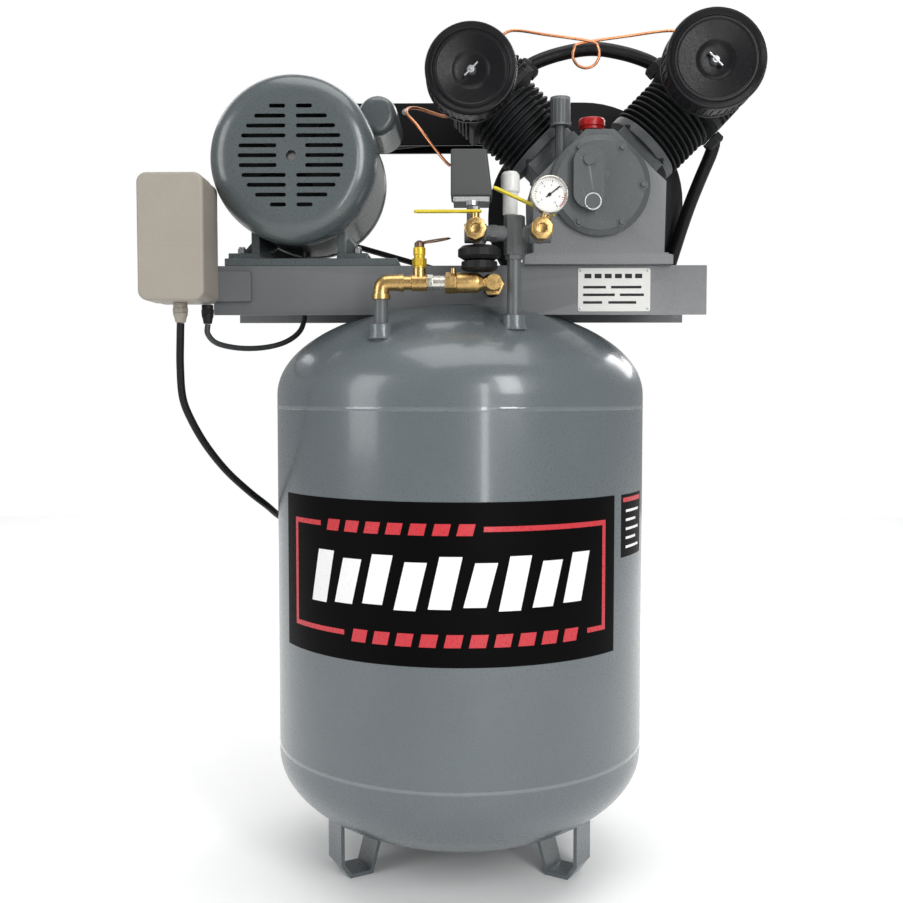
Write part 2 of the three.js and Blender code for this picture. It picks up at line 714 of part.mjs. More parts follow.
// A ball valve about its own bore, open end at the front, stem upwards.
function ballValve(withGauge) {
  const back = RISER_Y - 14 - GAP;
  const body = alongY(
    turned(
      [
        [7.5, VALVE_FRONT], [16.5, VALVE_FRONT], [16.5, VALVE_FRONT + 12], [14, VALVE_FRONT + 15],
        [15, back - 8], [13, back], [0, back], [0, VALVE_FRONT + 20], [7.5, VALVE_FRONT + 20],
        [7.5, VALVE_FRONT],
      ],
      18,
    ),
  );
  const stem = bar(6, 12, 26, 12).translate(0, -232, 0);
  const tap = bar(5, 13, 20, 12).translate(0, -255, 0).rotateY(GAUGE_LEAN - RIGHT_ROLL);
  return withGauge ? join(body, stem, tap) : join(body, stem);
}

// The flat lever on a valve's stem, pointing to the left.
function valveLever() {
  const outline = new THREE.Shape();
  outline.moveTo(9, -8);
  outline.absarc(0, 0, 10, -0.8, 0.8);
  outline.lineTo(-16, 6.5);
  outline.lineTo(-84, 6.5);
  outline.absarc(-84, 0, 6.5, Math.PI / 2, 1.5 * Math.PI);
  outline.lineTo(-16, -6.5);
  const plate = new THREE.ExtrudeGeometry(outline, { depth: 4, bevelEnabled: false, curveSegments: 8 });
  const nut = bar(7, 3, 9, 6);
  return join(plate, nut).translate(0, -232, 26 + GAP);
}

function valve(name, x, roll) {
  const parts = group(
    node("ball_valve_" + name, ballValve(roll !== 0), "#c9a878", 0.3, 0.9),
    node("valve_lever_" + name, valveLever(), "#c9b531", 0.5, 0.1),
  );
  parts.position.set(x, 0, VALVE_Z);
  parts.rotation.y = roll;
  return parts;
}

function gauge() {
  const height = 48; // dial centre above the valve's bore
  const back = -243;
  const stem = bar(5, 20 + GAP, height - 20, 12).translate(0, -255, 0);
  const shell = turned(
    [[0, 0], [24, 0], [27, 3], [27, 25], [24.5, 25], [24.5, 18], [0, 18]],
    24,
  );
  const caseBody = join(stem, alongMinusY(shell).translate(0, back, height));
  const needle = join(
    alongMinusY(bar(2.6, 0, 2, 10)),
    box(-0.9, 0.9, -1.6, -0.4, -6, 19).rotateY(0.7),
  ).translate(0, back - 18 - GAP, height);
  const parts = group(
    node("gauge_case", caseBody, "#b9b7b0", 0.3, 0.6),
    node("gauge_needle", needle, "#161616", 0.5, 0),
  );
  parts.position.set(RIGHT_VALVE_X, 0, VALVE_Z);
  parts.rotation.y = GAUGE_LEAN;
  return parts;
}

function regulator() {
  const x = RISER_X - 52;
  const body = turned(
    [[0, 978], [24, 978], [32, 983], [32, 993], [26, 998], [18, 999.7 - GAP], [0, 999.7 - GAP]],
    28,
  );
  const knob = turned([[0, 962], [23, 962], [27, 965], [27, 975], [14, 978 - GAP], [0, 978 - GAP]], 18);
  return group(
    node("regulator_body", body.translate(x, RISER_Y, 0), "#33373a", 0.5, 0.2),
    node("regulator_knob", knob.translate(x, RISER_Y, 0), "#202224", 0.5, 0),
  );
}

function ventMuffler() {
  const low = VENT_BOTTOM + GAP;
  const body = turned(
    [[0, low], [11.5, low], [11.5, 1088], [14.5, 1090], [14.5, 1115], [10, 1120], [0, 1120]],
    16,
  );
  return node("vent_muffler", body.translate(VENT_X, VENT_Y, 0), "#e8e6e0", 0.4, 0);
}

function pressureSwitch() {
  const [y0, y1] = [-196, -136];
  const plate = box(-8, 46, y0, y1, 1066, 1073);
  const stem = bar(10, 1060 + GAP, 1067, 12).translate(20, RISER_Y + 14, 0);
  const outline = polygon([[-12, 1073 + GAP], [51, 1073 + GAP], [42, 1144], [-12, 1144]]);
  const cover = plateXZ(outline, y0 - 2, y1 + 2);
  return group(
    node("pressure_switch_base", join(plate, stem), "#a8abab", 0.4, 0.6),
    node("pressure_switch_cover", cover, "#46494b", 0.6, 0.1),
  );
}

function checkValveLine() {
  const low = headHeight(Math.hypot(CHECK_X, CHECK_Y)) + 2;
  const inline = alongX(
    turned(
      [
        [0, 0], [13, 0], [13, 34], [10.5, 35], [10.5, 62], [12.5, 63], [12.5, 68], [10.5, 69],
        [10.5, 94], [16, 95], [16, 112], [15, 113], [15, 145], [9, 152], [12, 153], [12, 176], [0, 176],
      ],
      20,
    ),
  ).translate(CHECK_X, 0, CHECK_Z);
  const nipple = bar(10.6, low, CHECK_Z, 16).translate(CHECK_X, 0, 0);
  const elbow = bar(14, CHECK_Z - 24, CHECK_Z + 14, 16).translate(CHECK_X, 0, 0);
  const teePort = bar(10, CHECK_Z, CHECK_Z + 22, 12).translate(-58, 0, 0);
  const bleedPort = bar(4, CHECK_Z, CHECK_Z + 22, 10).translate(-8, 0, 0);
  const inlet = alongY(bar(12, -14, 22, 12)).translate(CHECK_END_X, 0, CHECK_Z);
  const body = join(inline, nipple, elbow, teePort, bleedPort, inlet);
  return node("check_valve_line", body.translate(0, CHECK_Y, 0), "#c09a55", 0.3, 0.9);
}

function safetyValve() {
  const x = -58;
  const base = CHECK_Z + 22 + GAP;
  const body = turned(
    [[0, base], [8, base], [11, base + 5], [11, base + 14], [8, base + 17], [9, base + 30], [0, base + 30]],
    16,
  );
  const pull = join(
    turned(
      [[0, base + 30 + GAP], [7.5, base + 30 + GAP], [7.5, base + 36], [3, base + 40], [0, base + 40]],
      14,
    ),
    pullRing(base + 36),
  );
  return group(
    node("safety_valve_body", body.translate(x, CHECK_Y, 0), "#d8b21f", 0.4, 0.6),
    node("safety_valve_pull", pull.translate(x, CHECK_Y, 0), "#8a4a34", 0.4, 0.6),
  );
}

// A wire loop lying almost flat, from the pull's cap to the right.
function pullRing(z) {
  const ring = new THREE.TorusGeometry(9, 1.3, 5, 16).scale(2.4, 1, 1).translate(23, 0, 0);
  return ring.rotateY(-0.16).translate(0, 0, z);
}

// Starter box and wiring ---------------------------------------------------------------------------------

const POWER_EXIT = [-428, -165];
const MOTOR_EXIT = [-394, -132];
const GLAND_BOTTOM = 888;

function starter() {
  const frontY = -215;
  const seamY = -152;
  const backY = -112;
  const cornerRadius = 16;
  const slab = (inset, y0, y1) =>
    plateXZ(
      roundedOutline(
        BOX_LEFT + inset, BOX_RIGHT - inset, BOX_BOTTOM + inset, BOX_TOP - inset, cornerRadius - inset,
      ),
      y0,
      y1,
      5,
    );
  const cover = cut(slab(0, frontY, seamY), slab(3, frontY + 3, seamY + 1));
  const tray = cut(slab(1.5, seamY + GAP, backY), slab(5, seamY - 1, backY - 3));
  const bracket = box(-470, -330, backY - 1, -PLATFORM_HALF_WIDTH - GAP, 925, 972);
  return group(
    node("starter_cover", cover, "#b5ada0", 0.5, 0.1),
    node("starter_base", join(tray, bracket), "#b5ada0", 0.5, 0.1),
  );
}

function gland(name, [x, y], bottom, radius, color, hostBottom) {
  const nut = turned(
    [
      [0, bottom], [radius * 0.6, bottom], [radius, bottom + 10],
      [radius, hostBottom - GAP], [0, hostBottom - GAP],
    ],
    12,
  );
  return node(name, nut.translate(x, y, 0), color, 0.5, 0.1);
}

function motorLead() {
  const [x, y] = MOTOR_EXIT;
  const points = [
    [x, y, GLAND_BOTTOM - 2 * GAP],
    [x, y + 1, 872],
    [x + 12, y + 16, 858],
    [-352, -82, 852],
    [-317, -50, 855],
    [-288, -22, 866],
    [-268, -2, 886],
    [LEAD_X, LEAD_Y, 915],
    [LEAD_X, LEAD_Y, 950],
    [LEAD_X, LEAD_Y, 990],
    [LEAD_X, LEAD_Y, MOTOR_Z - MOTOR_RADIUS + 16],
  ];
  return node("motor_lead", tube(points, 4.5, 28, 8), "#1a1b1c", 0.6, 0);
}

// The supply cord from its gland, round the receiver's left side, down from the clip and onto the floor.
const SUPPLY_ROUTE = [
  [POWER_EXIT[0], POWER_EXIT[1], GLAND_BOTTOM - 2 * GAP],
  [POWER_EXIT[0] - 1, -164, 864],
  [-431, -159, 820],
  [-430, -150, 772],
  [-420, -134, 735],
  [-403, -108, 694],
  [-380, -70, 652],
  [-352, -26, 614],
  [-331, 16, 587],
  [-318, 64, 564],
  [-299, 124, 545],
  [-266, 180, 526],
  [-239, 212, 512],
  [-214, 236, 493],
  [-195, 250, 470],
  [CLIP_X - 2, CLIP_Y, 448],
  [CLIP_X, CLIP_Y, CLIP_Z],
  [CLIP_X, CLIP_Y, 380],
  [CLIP_X, CLIP_Y, 300],
  [CLIP_X, CLIP_Y, 200],
  [CLIP_X, CLIP_Y + 2, 110],
  [CLIP_X + 2, CLIP_Y + 12, 56],
  [CLIP_X + 12, CLIP_Y + 34, 20],
  [CLIP_X + 30, CLIP_Y + 54, 7],
  [CLIP_X + 56, CLIP_Y + 66, 6.6],
  [CLIP_X + 84, COIL_Y - 72, 6.6],
  [COIL_X - 45.5, COIL_Y - 72, 6.6],
];

function supplyCord() {
  const turns = { tube: 12.2, low: 0.3 };
  const inner = COIL_TURN_RADIUS - turns.tube;
  const outer = COIL_TURN_RADIUS + turns.tube;
  const coil = turned(
    [[inner, turns.low], [outer, turns.low], [outer, 24.5], [inner, 24.5], [inner, turns.low]],
    24,
  );
  const plugX = COIL_X + 46;
  const plugY = COIL_Y - 72;
  const plug = join(
    alongX(turned([[0, 0], [8, 0], [9, 14], [18, 24], [19, 50], [0, 50]], 16)).translate(plugX, plugY, 19.3),
    ...[-1, 1].map((side) =>
      box(plugX + 49, plugX + 68, plugY - 4, plugY + 4, 19.3 + side * 9 - 1, 19.3 + side * 9 + 1),
    ),
  );
  return group(
    node("power_cord", tube(SUPPLY_ROUTE, CORD_RADIUS, 50, 8), "#161718", 0.6, 0),
    node("cord_coil", coil.translate(COIL_X, COIL_Y, 0), "#161718", 0.6, 0),
    node("plug", plug, "#1b1c1d", 0.5, 0),
  );
}

// Assembly -----------------------------------------------------------------------------------------------

const machine = group(
  tank(),
  foot("foot_front_left", -Math.PI / 2 - Math.PI / 3),
  foot("foot_front_right", -Math.PI / 2 + Math.PI / 3),
  foot("foot_rear", Math.PI / 2),
  drainCock(),
  platform(),
  motor(),
  driveBelt(),
  beltGuard(),
  pump(),
  crossoverTube(),
  dischargeTube(),
  unloaderTube(),
  pilotTube(),
  outletManifold(),
  valve("left", LEFT_VALVE_X, 0),
  valve("right", RIGHT_VALVE_X, RIGHT_ROLL),
  gauge(),
  regulator(),
  ventMuffler(),
  pressureSwitch(),
  checkValveLine(),
  safetyValve(),
  starter(),
  gland("power_gland", POWER_EXIT, GLAND_BOTTOM, 12, "#b5ada0", BOX_BOTTOM),
  gland("motor_gland", MOTOR_EXIT, GLAND_BOTTOM, 10, "#1d1e1f", BOX_BOTTOM),
  motorLead(),
  supplyCord(),
);

// The origin is the middle of the machine's length, on the floor.
const extent = new THREE.Box3().setFromObject(machine, true);
machine.position.x = -(extent.min.x + extent.max.x) / 2;

export default machine;
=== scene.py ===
"""Vertical tank air compressor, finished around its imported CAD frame.

Lengths in the builders below are millimetres about the receiver's axis. Each piece is turned into metres in
the row frame when it is placed.
"""

import math

import bmesh
import bpy
from mathutils import Matrix, Vector


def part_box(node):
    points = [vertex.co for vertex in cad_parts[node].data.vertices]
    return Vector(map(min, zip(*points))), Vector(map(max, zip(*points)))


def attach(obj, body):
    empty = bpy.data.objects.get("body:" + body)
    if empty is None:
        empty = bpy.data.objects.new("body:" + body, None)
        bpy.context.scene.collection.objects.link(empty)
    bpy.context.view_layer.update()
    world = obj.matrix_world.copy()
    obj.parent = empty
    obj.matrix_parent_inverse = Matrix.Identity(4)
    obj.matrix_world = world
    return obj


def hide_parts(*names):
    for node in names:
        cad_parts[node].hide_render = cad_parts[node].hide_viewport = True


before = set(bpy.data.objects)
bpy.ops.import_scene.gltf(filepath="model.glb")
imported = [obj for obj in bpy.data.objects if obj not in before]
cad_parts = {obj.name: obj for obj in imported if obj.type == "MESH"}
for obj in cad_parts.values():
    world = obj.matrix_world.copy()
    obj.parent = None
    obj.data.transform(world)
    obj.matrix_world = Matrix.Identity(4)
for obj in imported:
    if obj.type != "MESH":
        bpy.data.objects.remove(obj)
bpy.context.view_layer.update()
MM = 0.001
TANK_LOW, TANK_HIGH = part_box("tank")
AXIS_X = (TANK_LOW.x + TANK_HIGH.x) / 2  # where the receiver's axis stands in the row frame

# Shared with part.mjs
SHELL_BOTTOM, SHELL_TOP = 188, 777
HEAD_DEPTH = 152.5
TANK_RADIUS = 304.2  # the visual shell, just inside the CAD one so that welds and labels fit in the box
MOTOR = (-258.5, 1145)
PUMP = (219, 1102)
BANK = math.pi / 4
SHEAVE_GROOVE, WHEEL_GROOVE = 68, 158
RISER_X, RISER_Y, VALVE_Z = 83, -204, 1017
LEFT_VALVE_X, RIGHT_VALVE_X = 25, 121
RIGHT_ROLL, GAUGE_LEAN = 0.43, 0.21
VENT_X, VENT_Y = 79, -141
CHECK_X, CHECK_Y, CHECK_Z = -115, -215, 943
POWER_EXIT, MOTOR_EXIT = (-428, -165), (-394, -132)
CLIP_X, CLIP_Y, CLIP_Z = -313 * math.sin(0.62), 313 * math.cos(0.62), 425
COIL_X, COIL_Y = -30, 396


def metres(p):
    return Vector((p[0] * MM + AXIS_X, p[1] * MM, p[2] * MM))


# Camera -----------------------------------------------------------------------------------------------------

camera_data = bpy.data.cameras.new("camera")
camera_data.lens = 43.65
camera_data.sensor_width = 36
camera = bpy.data.objects.new("camera", camera_data)
bpy.context.scene.collection.objects.link(camera)
camera.location = (0.0264, -1.85, 0.780)
camera.rotation_mode = "QUATERNION"
camera.rotation_quaternion = Vector((-0.017, 1, -0.0535)).to_track_quat("-Z", "Y")
bpy.context.scene.camera = camera


# Materials --------------------------------------------------------------------------------------------------


def surface(
    name,
    color,
    roughness,
    metallic=0.0,
    coat=0.0,
    tint=0.12,
    patch=7.0,
    grain=260.0,
    bump=0.05,
    worn=None,
    dust=0.0,
    specular=0.5,
):
    """A coloured surface with broad variation, fine grain in roughness and bump, and worn edges."""
    material = bpy.data.materials.new(name)
    material.use_nodes = True
    tree = material.node_tree
    shader = tree.nodes["Principled BSDF"]
    shader.inputs["Metallic"].default_value = metallic
    shader.inputs["Specular IOR Level"].default_value = specular
    shader.inputs["Coat Weight"].default_value = coat
    shader.inputs["Coat Roughness"].default_value = 0.12

    def add(kind, **values):
        made = tree.nodes.new(kind)
        for key, value in values.items():
            if key in made.inputs:
                made.inputs[key].default_value = value
            else:
                setattr(made, key, value)
        return made

    def link(a, out, b, into):
        tree.links.new(a.outputs[out], b.inputs[into])

    def remap(source, output, low, high, to_low, to_high):
        made = add("ShaderNodeMapRange")
        for key, value in (("From Min", low), ("From Max", high), ("To Min", to_low), ("To Max", to_high)):
            made.inputs[key].default_value = value
        link(source, output, made, "Value")
        return made

    def overlay(under, mask, over):
        made = add("ShaderNodeMixRGB")
        made.inputs["Color2"].default_value = (*over, 1)
        link(mask, "Result", made, "Fac")
        link(under, "Color", made, "Color1")
        return made

    place = add("ShaderNodeTexCoord")
    broad = add("ShaderNodeTexNoise", Scale=patch, Detail=4.0)
    fine = add("ShaderNodeTexNoise", Scale=grain, Detail=2.0)
    link(place, "Object", broad, "Vector")
    link(place, "Object", fine, "Vector")
    ramp = add("ShaderNodeValToRGB")
    dark = [c * (1 - tint) for c in color]
    light = [min(1, c * (1 + tint)) for c in color]
    ramp.color_ramp.elements[0].position = 0.3
    ramp.color_ramp.elements[0].color = (*dark, 1)
    ramp.color_ramp.elements[1].position = 0.7
    ramp.color_ramp.elements[1].color = (*light, 1)
    link(broad, "Fac", ramp, "Fac")
    last = ramp
    if dust:
        speck = add("ShaderNodeTexNoise", Scale=55.0, Detail=6.0, Roughness=0.7)
        link(place, "Object", speck, "Vector")
        last = overlay(last, remap(speck, "Fac", 0.58, 0.75, 0, dust), (0.30, 0.28, 0.25))
    if worn:
        edge = add("ShaderNodeNewGeometry")
        last = overlay(last, remap(edge, "Pointiness", 0.53, 0.62, 0, 0.55), worn)
    link(last, "Color", shader, "Base Color")
    rough = remap(fine, "Fac", 0.3, 0.7, max(0.04, roughness - 0.06), roughness + 0.08)
    link(rough, "Result", shader, "Roughness")
    relief = add("ShaderNodeBump", Strength=bump, Distance=0.002)
    link(fine, "Fac", relief, "Height")
    link(relief, "Normal", shader, "Normal")
    return material


BARE = (0.24, 0.245, 0.25)
M = {
    "tank": surface("tank_enamel", (0.096, 0.115, 0.124), 0.3, coat=0.45, tint=0.05, grain=420, bump=0.05),
    # The weld bead: the tank enamel made lighter, a painted highlight along the seams, with a real glossier
    # coat
    "bead": surface("bead_enamel_painted_highlight", (0.13, 0.152, 0.163), 0.16, coat=1.0, tint=0.05, grain=420, bump=0.02),
    "platform": surface(
        "platform_enamel", (0.062, 0.069, 0.073), 0.42, coat=0.1, tint=0.1, bump=0.1, worn=BARE
    ),
    "motor": surface("motor_enamel", (0.069, 0.084, 0.087), 0.3, coat=0.4, tint=0.07, grain=330, bump=0.05),
    "casting": surface(
        "cast_enamel", (0.06, 0.067, 0.07), 0.45, tint=0.16, grain=520, bump=0.4, worn=BARE, dust=0.2
    ),
    "iron": surface(
        "black_iron",
        (0.012, 0.013, 0.014),
        0.5,
        tint=0.3,
        grain=480,
        bump=0.45,
        worn=(0.06, 0.06, 0.06),
        specular=0.2,
    ),
    "black": surface(
        "black_enamel",
        (0.005, 0.005, 0.006),
        0.34,
        tint=0.2,
        bump=0.06,
        worn=(0.03, 0.03, 0.03),
        specular=0.2,
    ),
    "shaft": surface(
        "machined_steel", (0.42, 0.42, 0.42), 0.28, metallic=1.0, tint=0.12, grain=700, bump=0.06
    ),
    "zinc": surface("zinc_plate", (0.42, 0.43, 0.44), 0.38, metallic=0.9, tint=0.18, grain=240, bump=0.14),
    "nickel": surface("pale_nickel", (0.66, 0.64, 0.58), 0.26, metallic=1.0, tint=0.1, bump=0.06),
    "brass": surface("brass", (0.5, 0.33, 0.13), 0.3, metallic=1.0, tint=0.2, patch=30, bump=0.06),
    "gold": surface("yellow_brass", (0.62, 0.43, 0.04), 0.38, metallic=0.6, tint=0.15, patch=40, bump=0.05),
    "bronze": surface("dark_bronze", (0.16, 0.1, 0.07), 0.4, metallic=0.8, tint=0.15, patch=40, bump=0.05),
    "copper": surface("copper", (0.62, 0.26, 0.13), 0.3, metallic=1.0, tint=0.2, patch=30, bump=0.06),
    "lever": surface("yellow_vinyl", (0.62, 0.5, 0.02), 0.4, tint=0.1, patch=30, bump=0.08),
    "plastic": surface(
        "black_plastic", (0.012, 0.012, 0.013), 0.45, tint=0.15, grain=900, bump=0.18, specular=0.2
    ),
    "switch": surface("grey_plastic", (0.046, 0.048, 0.049), 0.5, tint=0.1, grain=900, bump=0.18),
    "beige": surface("beige_plastic", (0.3, 0.27, 0.228), 0.5, tint=0.05, grain=850, bump=0.16),
    "red": surface("red_plastic", (0.5, 0.012, 0.015), 0.3, tint=0.12, patch=40, bump=0.06),
    "white": surface("white_plastic", (0.74, 0.74, 0.72), 0.35, tint=0.05, patch=40, bump=0.05),
    "rubber": surface(
        "belt_rubber", (0.009, 0.009, 0.01), 0.7, tint=0.3, grain=900, bump=0.3, dust=0.15, specular=0.2
    ),
    "jacket": surface(
        "cord_jacket", (0.008, 0.008, 0.009), 0.42, tint=0.2, patch=20, grain=700, bump=0.14, specular=0.2
    ),
    "grey_jacket": surface(
        "lead_jacket", (0.03, 0.032, 0.034), 0.45, tint=0.2, patch=20, grain=700, bump=0.14
    ),
    "vinyl": surface("label_black", (0.002, 0.002, 0.002), 0.4, tint=0.2, bump=0.01, specular=0.04),
    "print_red": surface("label_red", (0.5, 0.025, 0.035), 0.3, tint=0.06, bump=0.02),
    "print_white": surface("label_white", (0.8, 0.8, 0.8), 0.3, tint=0.03, bump=0.02),
    "plate": surface("name_plate", (0.6, 0.6, 0.58), 0.4, tint=0.07, bump=0.04),
    "oil": surface("sight_oil", (0.2, 0.15, 0.08), 0.12, coat=0.8, tint=0.2, patch=60, bump=0.01),
    "alloy": surface("piston_alloy", (0.6, 0.6, 0.6), 0.3, metallic=1.0, tint=0.1, grain=500, bump=0.1),
}


# Builders ---------------------------------------------------------------------------------------------------

UP = Matrix.Identity(4)  # a lathe's +Z left as it is
TO_BACK = Matrix.Rotation(-math.pi / 2, 4, "X")  # a lathe's +Z turned to +Y
TO_FRONT = Matrix.Rotation(math.pi / 2, 4, "X")  # a lathe's +Z turned to -Y
TO_RIGHT = Matrix.Rotation(math.pi / 2, 4, "Y")  # a lathe's +Z turned to +X


def shift(x=0, y=0, z=0):
    return Matrix.Translation((x, y, z))


def spun(angle, axis="Y"):
    return Matrix.Rotation(angle, 4, axis)


def aimed(a, b):
    """Turns +Z from a towards b, with the origin at a."""
    a, b = Vector(a), Vector(b)
    return shift(*a) @ (b - a).to_track_quat("Z", "Y").to_matrix().to_4x4()


def rounded(x0, x1, z0, z1, radius, steps=8):
    """The corners of a rounded rectangle, in X and Z."""
    radii = radius if isinstance(radius, (list, tuple)) else [radius] * 4
    centres = [
        (x0 + radii[0], z0 + radii[0], math.pi),
        (x1 - radii[1], z0 + radii[1], 1.5 * math.pi),
        (x1 - radii[2], z1 - radii[2], 0),
        (x0 + radii[3], z1 - radii[3], 0.5 * math.pi),
    ]
    points = []
    for (cx, cz, start), r in zip(centres, radii):
        for i in range(steps + 1):
            a = start + i / steps * math.pi / 2
            points.append((cx + r * math.cos(a), cz + r * math.sin(a)))
    return points


def smooth_path(points, per_span=10):
    """The curve that a uniform Catmull-Rom spline draws through the points."""
    given = [Vector(p) for p in points]
    given = [2 * given[0] - given[1], *given, 2 * given[-1] - given[-2]]
    path = []
    for i in range(1, len(given) - 2):
        a, b, c, d = given[i - 1 : i + 3]
        for k in range(per_span):
            t = k / per_span
            path.append(
                0.5 * (
                    2 * b + (c - a) * t + (2 * a - 5 * b + 4 * c - d) * t**2 + (3 * b - a - 3 * c + d) * t**3
                )
            )
    path.append(given[-2])
    return path


def rim_faces(n):
    """The faces between two layers of n corners each."""
    return [(i, (i + 1) % n, n + (i + 1) % n, n + i) for i in range(n)]


class Piece:
    """A mesh made of closed shells, in millimetres about the receiver's axis."""

    def __init__(self, name):
        self.name = name
        self.bm = bmesh.new()

    def shell(self, vertices, faces, place=UP):
        made = [self.bm.verts.new(place @ Vector(v)) for v in vertices]
        for face in faces:
            corners = [made[i] for i in face]
            if len(set(corners)) == len(corners) > 2:
                self.bm.faces.new(corners)
        return self

    def lathe(self, profile, place=UP, segments=64):
        """A solid of revolution about Z from (radius, z) pairs; it closes on the axis, or on itself."""
        ring = profile[0] == profile[-1]
        profile = profile[:-1] if ring else profile
        vertices, rows = [], []
        for r, z in profile:
            if r == 0:
                rows.append([len(vertices)] * segments)
                vertices.append((0, 0, z))
                continue
            rows.append([len(vertices) + k for k in range(segments)])
            vertices += [
                (r * math.cos(2 * math.pi * k / segments), r * math.sin(2 * math.pi * k / segments), z)
                for k in range(segments)
            ]
        faces = []
        pairs = list(zip(rows, rows[1:])) + ([(rows[-1], rows[0])] if ring else [])
        for low, high in pairs:
            for k in range(segments):
                n = (k + 1) % segments
                loop = [low[k], low[n], high[n], high[k]]
                faces.append(list(dict.fromkeys(loop)))
        return self.shell(vertices, faces, place)

    def bar(self, r, z0, z1, place=UP, segments=32):
        return self.lathe([(0, z0), (r, z0), (r, z1), (0, z1)], place, segments)

    def ring(self, inner, outer, z0, z1, place=UP, segments=64):
        """A round bar with a hole along it."""
        return self.lathe([(inner, z0), (outer, z0), (outer, z1), (inner, z1), (inner, z0)], place, segments)

    def hex(self, r, z0, z1, place):
        """A hexagonal bar with chamfered ends."""
        return self.lathe(
            [(0, z0), (r * 0.93, z0), (r, z0 + 1), (r, z1 - 1), (r * 0.93, z1), (0, z1)], place, 6
        )

    def block(self, x0, x1, y0, y1, z0, z1, place=UP):
        corners = [(x, y, z) for z in (z0, z1) for y in (y0, y1) for x in (x0, x1)]
        faces = [(0, 2, 3, 1), (4, 5, 7, 6), (0, 1, 5, 4), (2, 6, 7, 3), (0, 4, 6, 2), (1, 3, 7, 5)]
        return self.shell(corners, faces, place)

    def prism(self, outline, y0, y1, place=UP):
        """A plate with the outline given in X and Z, between two values of Y."""
        n = len(outline)
        vertices = [(x, y0, z) for x, z in outline] + [(x, y1, z) for x, z in outline]
        faces = [list(range(n)), list(range(2 * n - 1, n - 1, -1)), *rim_faces(n)]
        return self.shell(vertices, faces, place)

    def slab(self, outline, z0, z1, place=UP):
        """A plate with the outline given in X and Y, between two values of Z."""
        n = len(outline)
        vertices = [(x, y, z) for z in (z0, z1) for x, y in outline]
        faces = [list(range(n - 1, -1, -1)), list(range(n, 2 * n)), *rim_faces(n)]
        return self.shell(vertices, faces, place)

    def frame(self, outer, inner, y0, y1, place=UP):
        """A plate with a hole: both outlines have the same number of points."""
        n = len(outer)
        vertices = []
        for y in (y0, y1):
            vertices += [(x, y, z) for x, z in outer]
            vertices += [(x, y, z) for x, z in inner]
        faces = []
        for i in range(n):
            j = (i + 1) % n
            faces += [
                (i, j, n + j, n + i),
                (2 * n + i, 3 * n + i, 3 * n + j, 2 * n + j),
                (i, 2 * n + i, 2 * n + j, j),
                (n + i, n + j, 3 * n + j, 3 * n + i),
            ]
        return self.shell(vertices, faces, place)

    def tube(self, path, r, segments=16):
        """A round tube along the points of a smooth path."""
        path = [Vector(p) for p in path]
        side = None
        vertices, faces = [], []
        for i, p in enumerate(path):
            ahead = (path[min(i + 1, len(path) - 1)] - path[max(i - 1, 0)]).normalized()
            side = ahead.orthogonal() if side is None else side - ahead * side.dot(ahead)
            side.normalize()
            other = ahead.cross(side)
            for k in range(segments):
                a = 2 * math.pi * k / segments
                vertices.append(p + r * (side * math.cos(a) + other * math.sin(a)))
        for i in range(len(path) - 1):
            for k in range(segments):
                n = (k + 1) % segments
                faces.append(
                    (i * segments + k, i * segments + n, (i + 1) * segments + n, (i + 1) * segments + k)
                )
        last = (len(path) - 1) * segments
        faces += [list(range(segments - 1, -1, -1)), list(range(last, last + segments))]
        return self.shell(vertices, faces)

    def bolt(self, at, towards, size=9, height=6):
        """A washer and a hexagon head that stand on a face."""
        place = aimed(at, Vector(at) + Vector(towards))
        self.bar(size * 0.95, 0, 1.4, place, 24)
        return self.lathe(
            [(0, 1), (size * 0.58, 1), (size * 0.58, height - 1), (size * 0.5, height), (0, height)], place, 6
        )

    def to_metres(self):
        """Turns every face outwards and moves the shells into the row frame."""
        bmesh.ops.recalc_face_normals(self.bm, faces=self.bm.faces)
        self.bm.transform(Matrix.Translation((AXIS_X, 0, 0)) @ Matrix.Scale(MM, 4))

    def to_object(self):
        mesh = bpy.data.meshes.new(self.name)
        self.bm.to_mesh(mesh)
        self.bm.free()
        made = bpy.data.objects.new(self.name, mesh)
        bpy.context.scene.collection.objects.link(made)
        return made

    def done(self, material, body="frame", replaces=(), bevel=0.7, segments=2, slot=None):
        self.to_metres()
        for face in self.bm.faces:
            face.smooth = True
        if not bevel:
            for edge in self.bm.edges:
                edge.smooth = len(edge.link_faces) == 2 and edge.calc_face_angle(0) < 0.6
        made = self.to_object()
        made.data.materials.append(M[material])
        if bevel:
            soften(made, bevel, segments)
        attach(made, body)
        if replaces:
            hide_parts(*([replaces] if isinstance(replaces, str) else replaces))
        return made


def soften(thing, width, segments=2):
    """Rounds a piece's sharp edges."""
    bevel = thing.modifiers.new("edges", "BEVEL")
    bevel.width = width * MM
    bevel.segments = segments
    bevel.limit_method = "ANGLE"
    bevel.angle_limit = math.radians(38)
    bevel.use_clamp_overlap = True
    thing.modifiers.new("shading", "WEIGHTED_NORMAL")


def keep(node, material, bevel=0.8, segments=2):
    """Shows a CAD node as it is, with softened edges and its own finish."""
    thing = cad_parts[node]
    thing.data.materials.clear()
    thing.data.materials.append(M[material])
    for face in thing.data.polygons:
        face.use_smooth = True
    if bevel:
        soften(thing, bevel, segments)
    return thing


# Cords ------------------------------------------------------------------------------------------------------

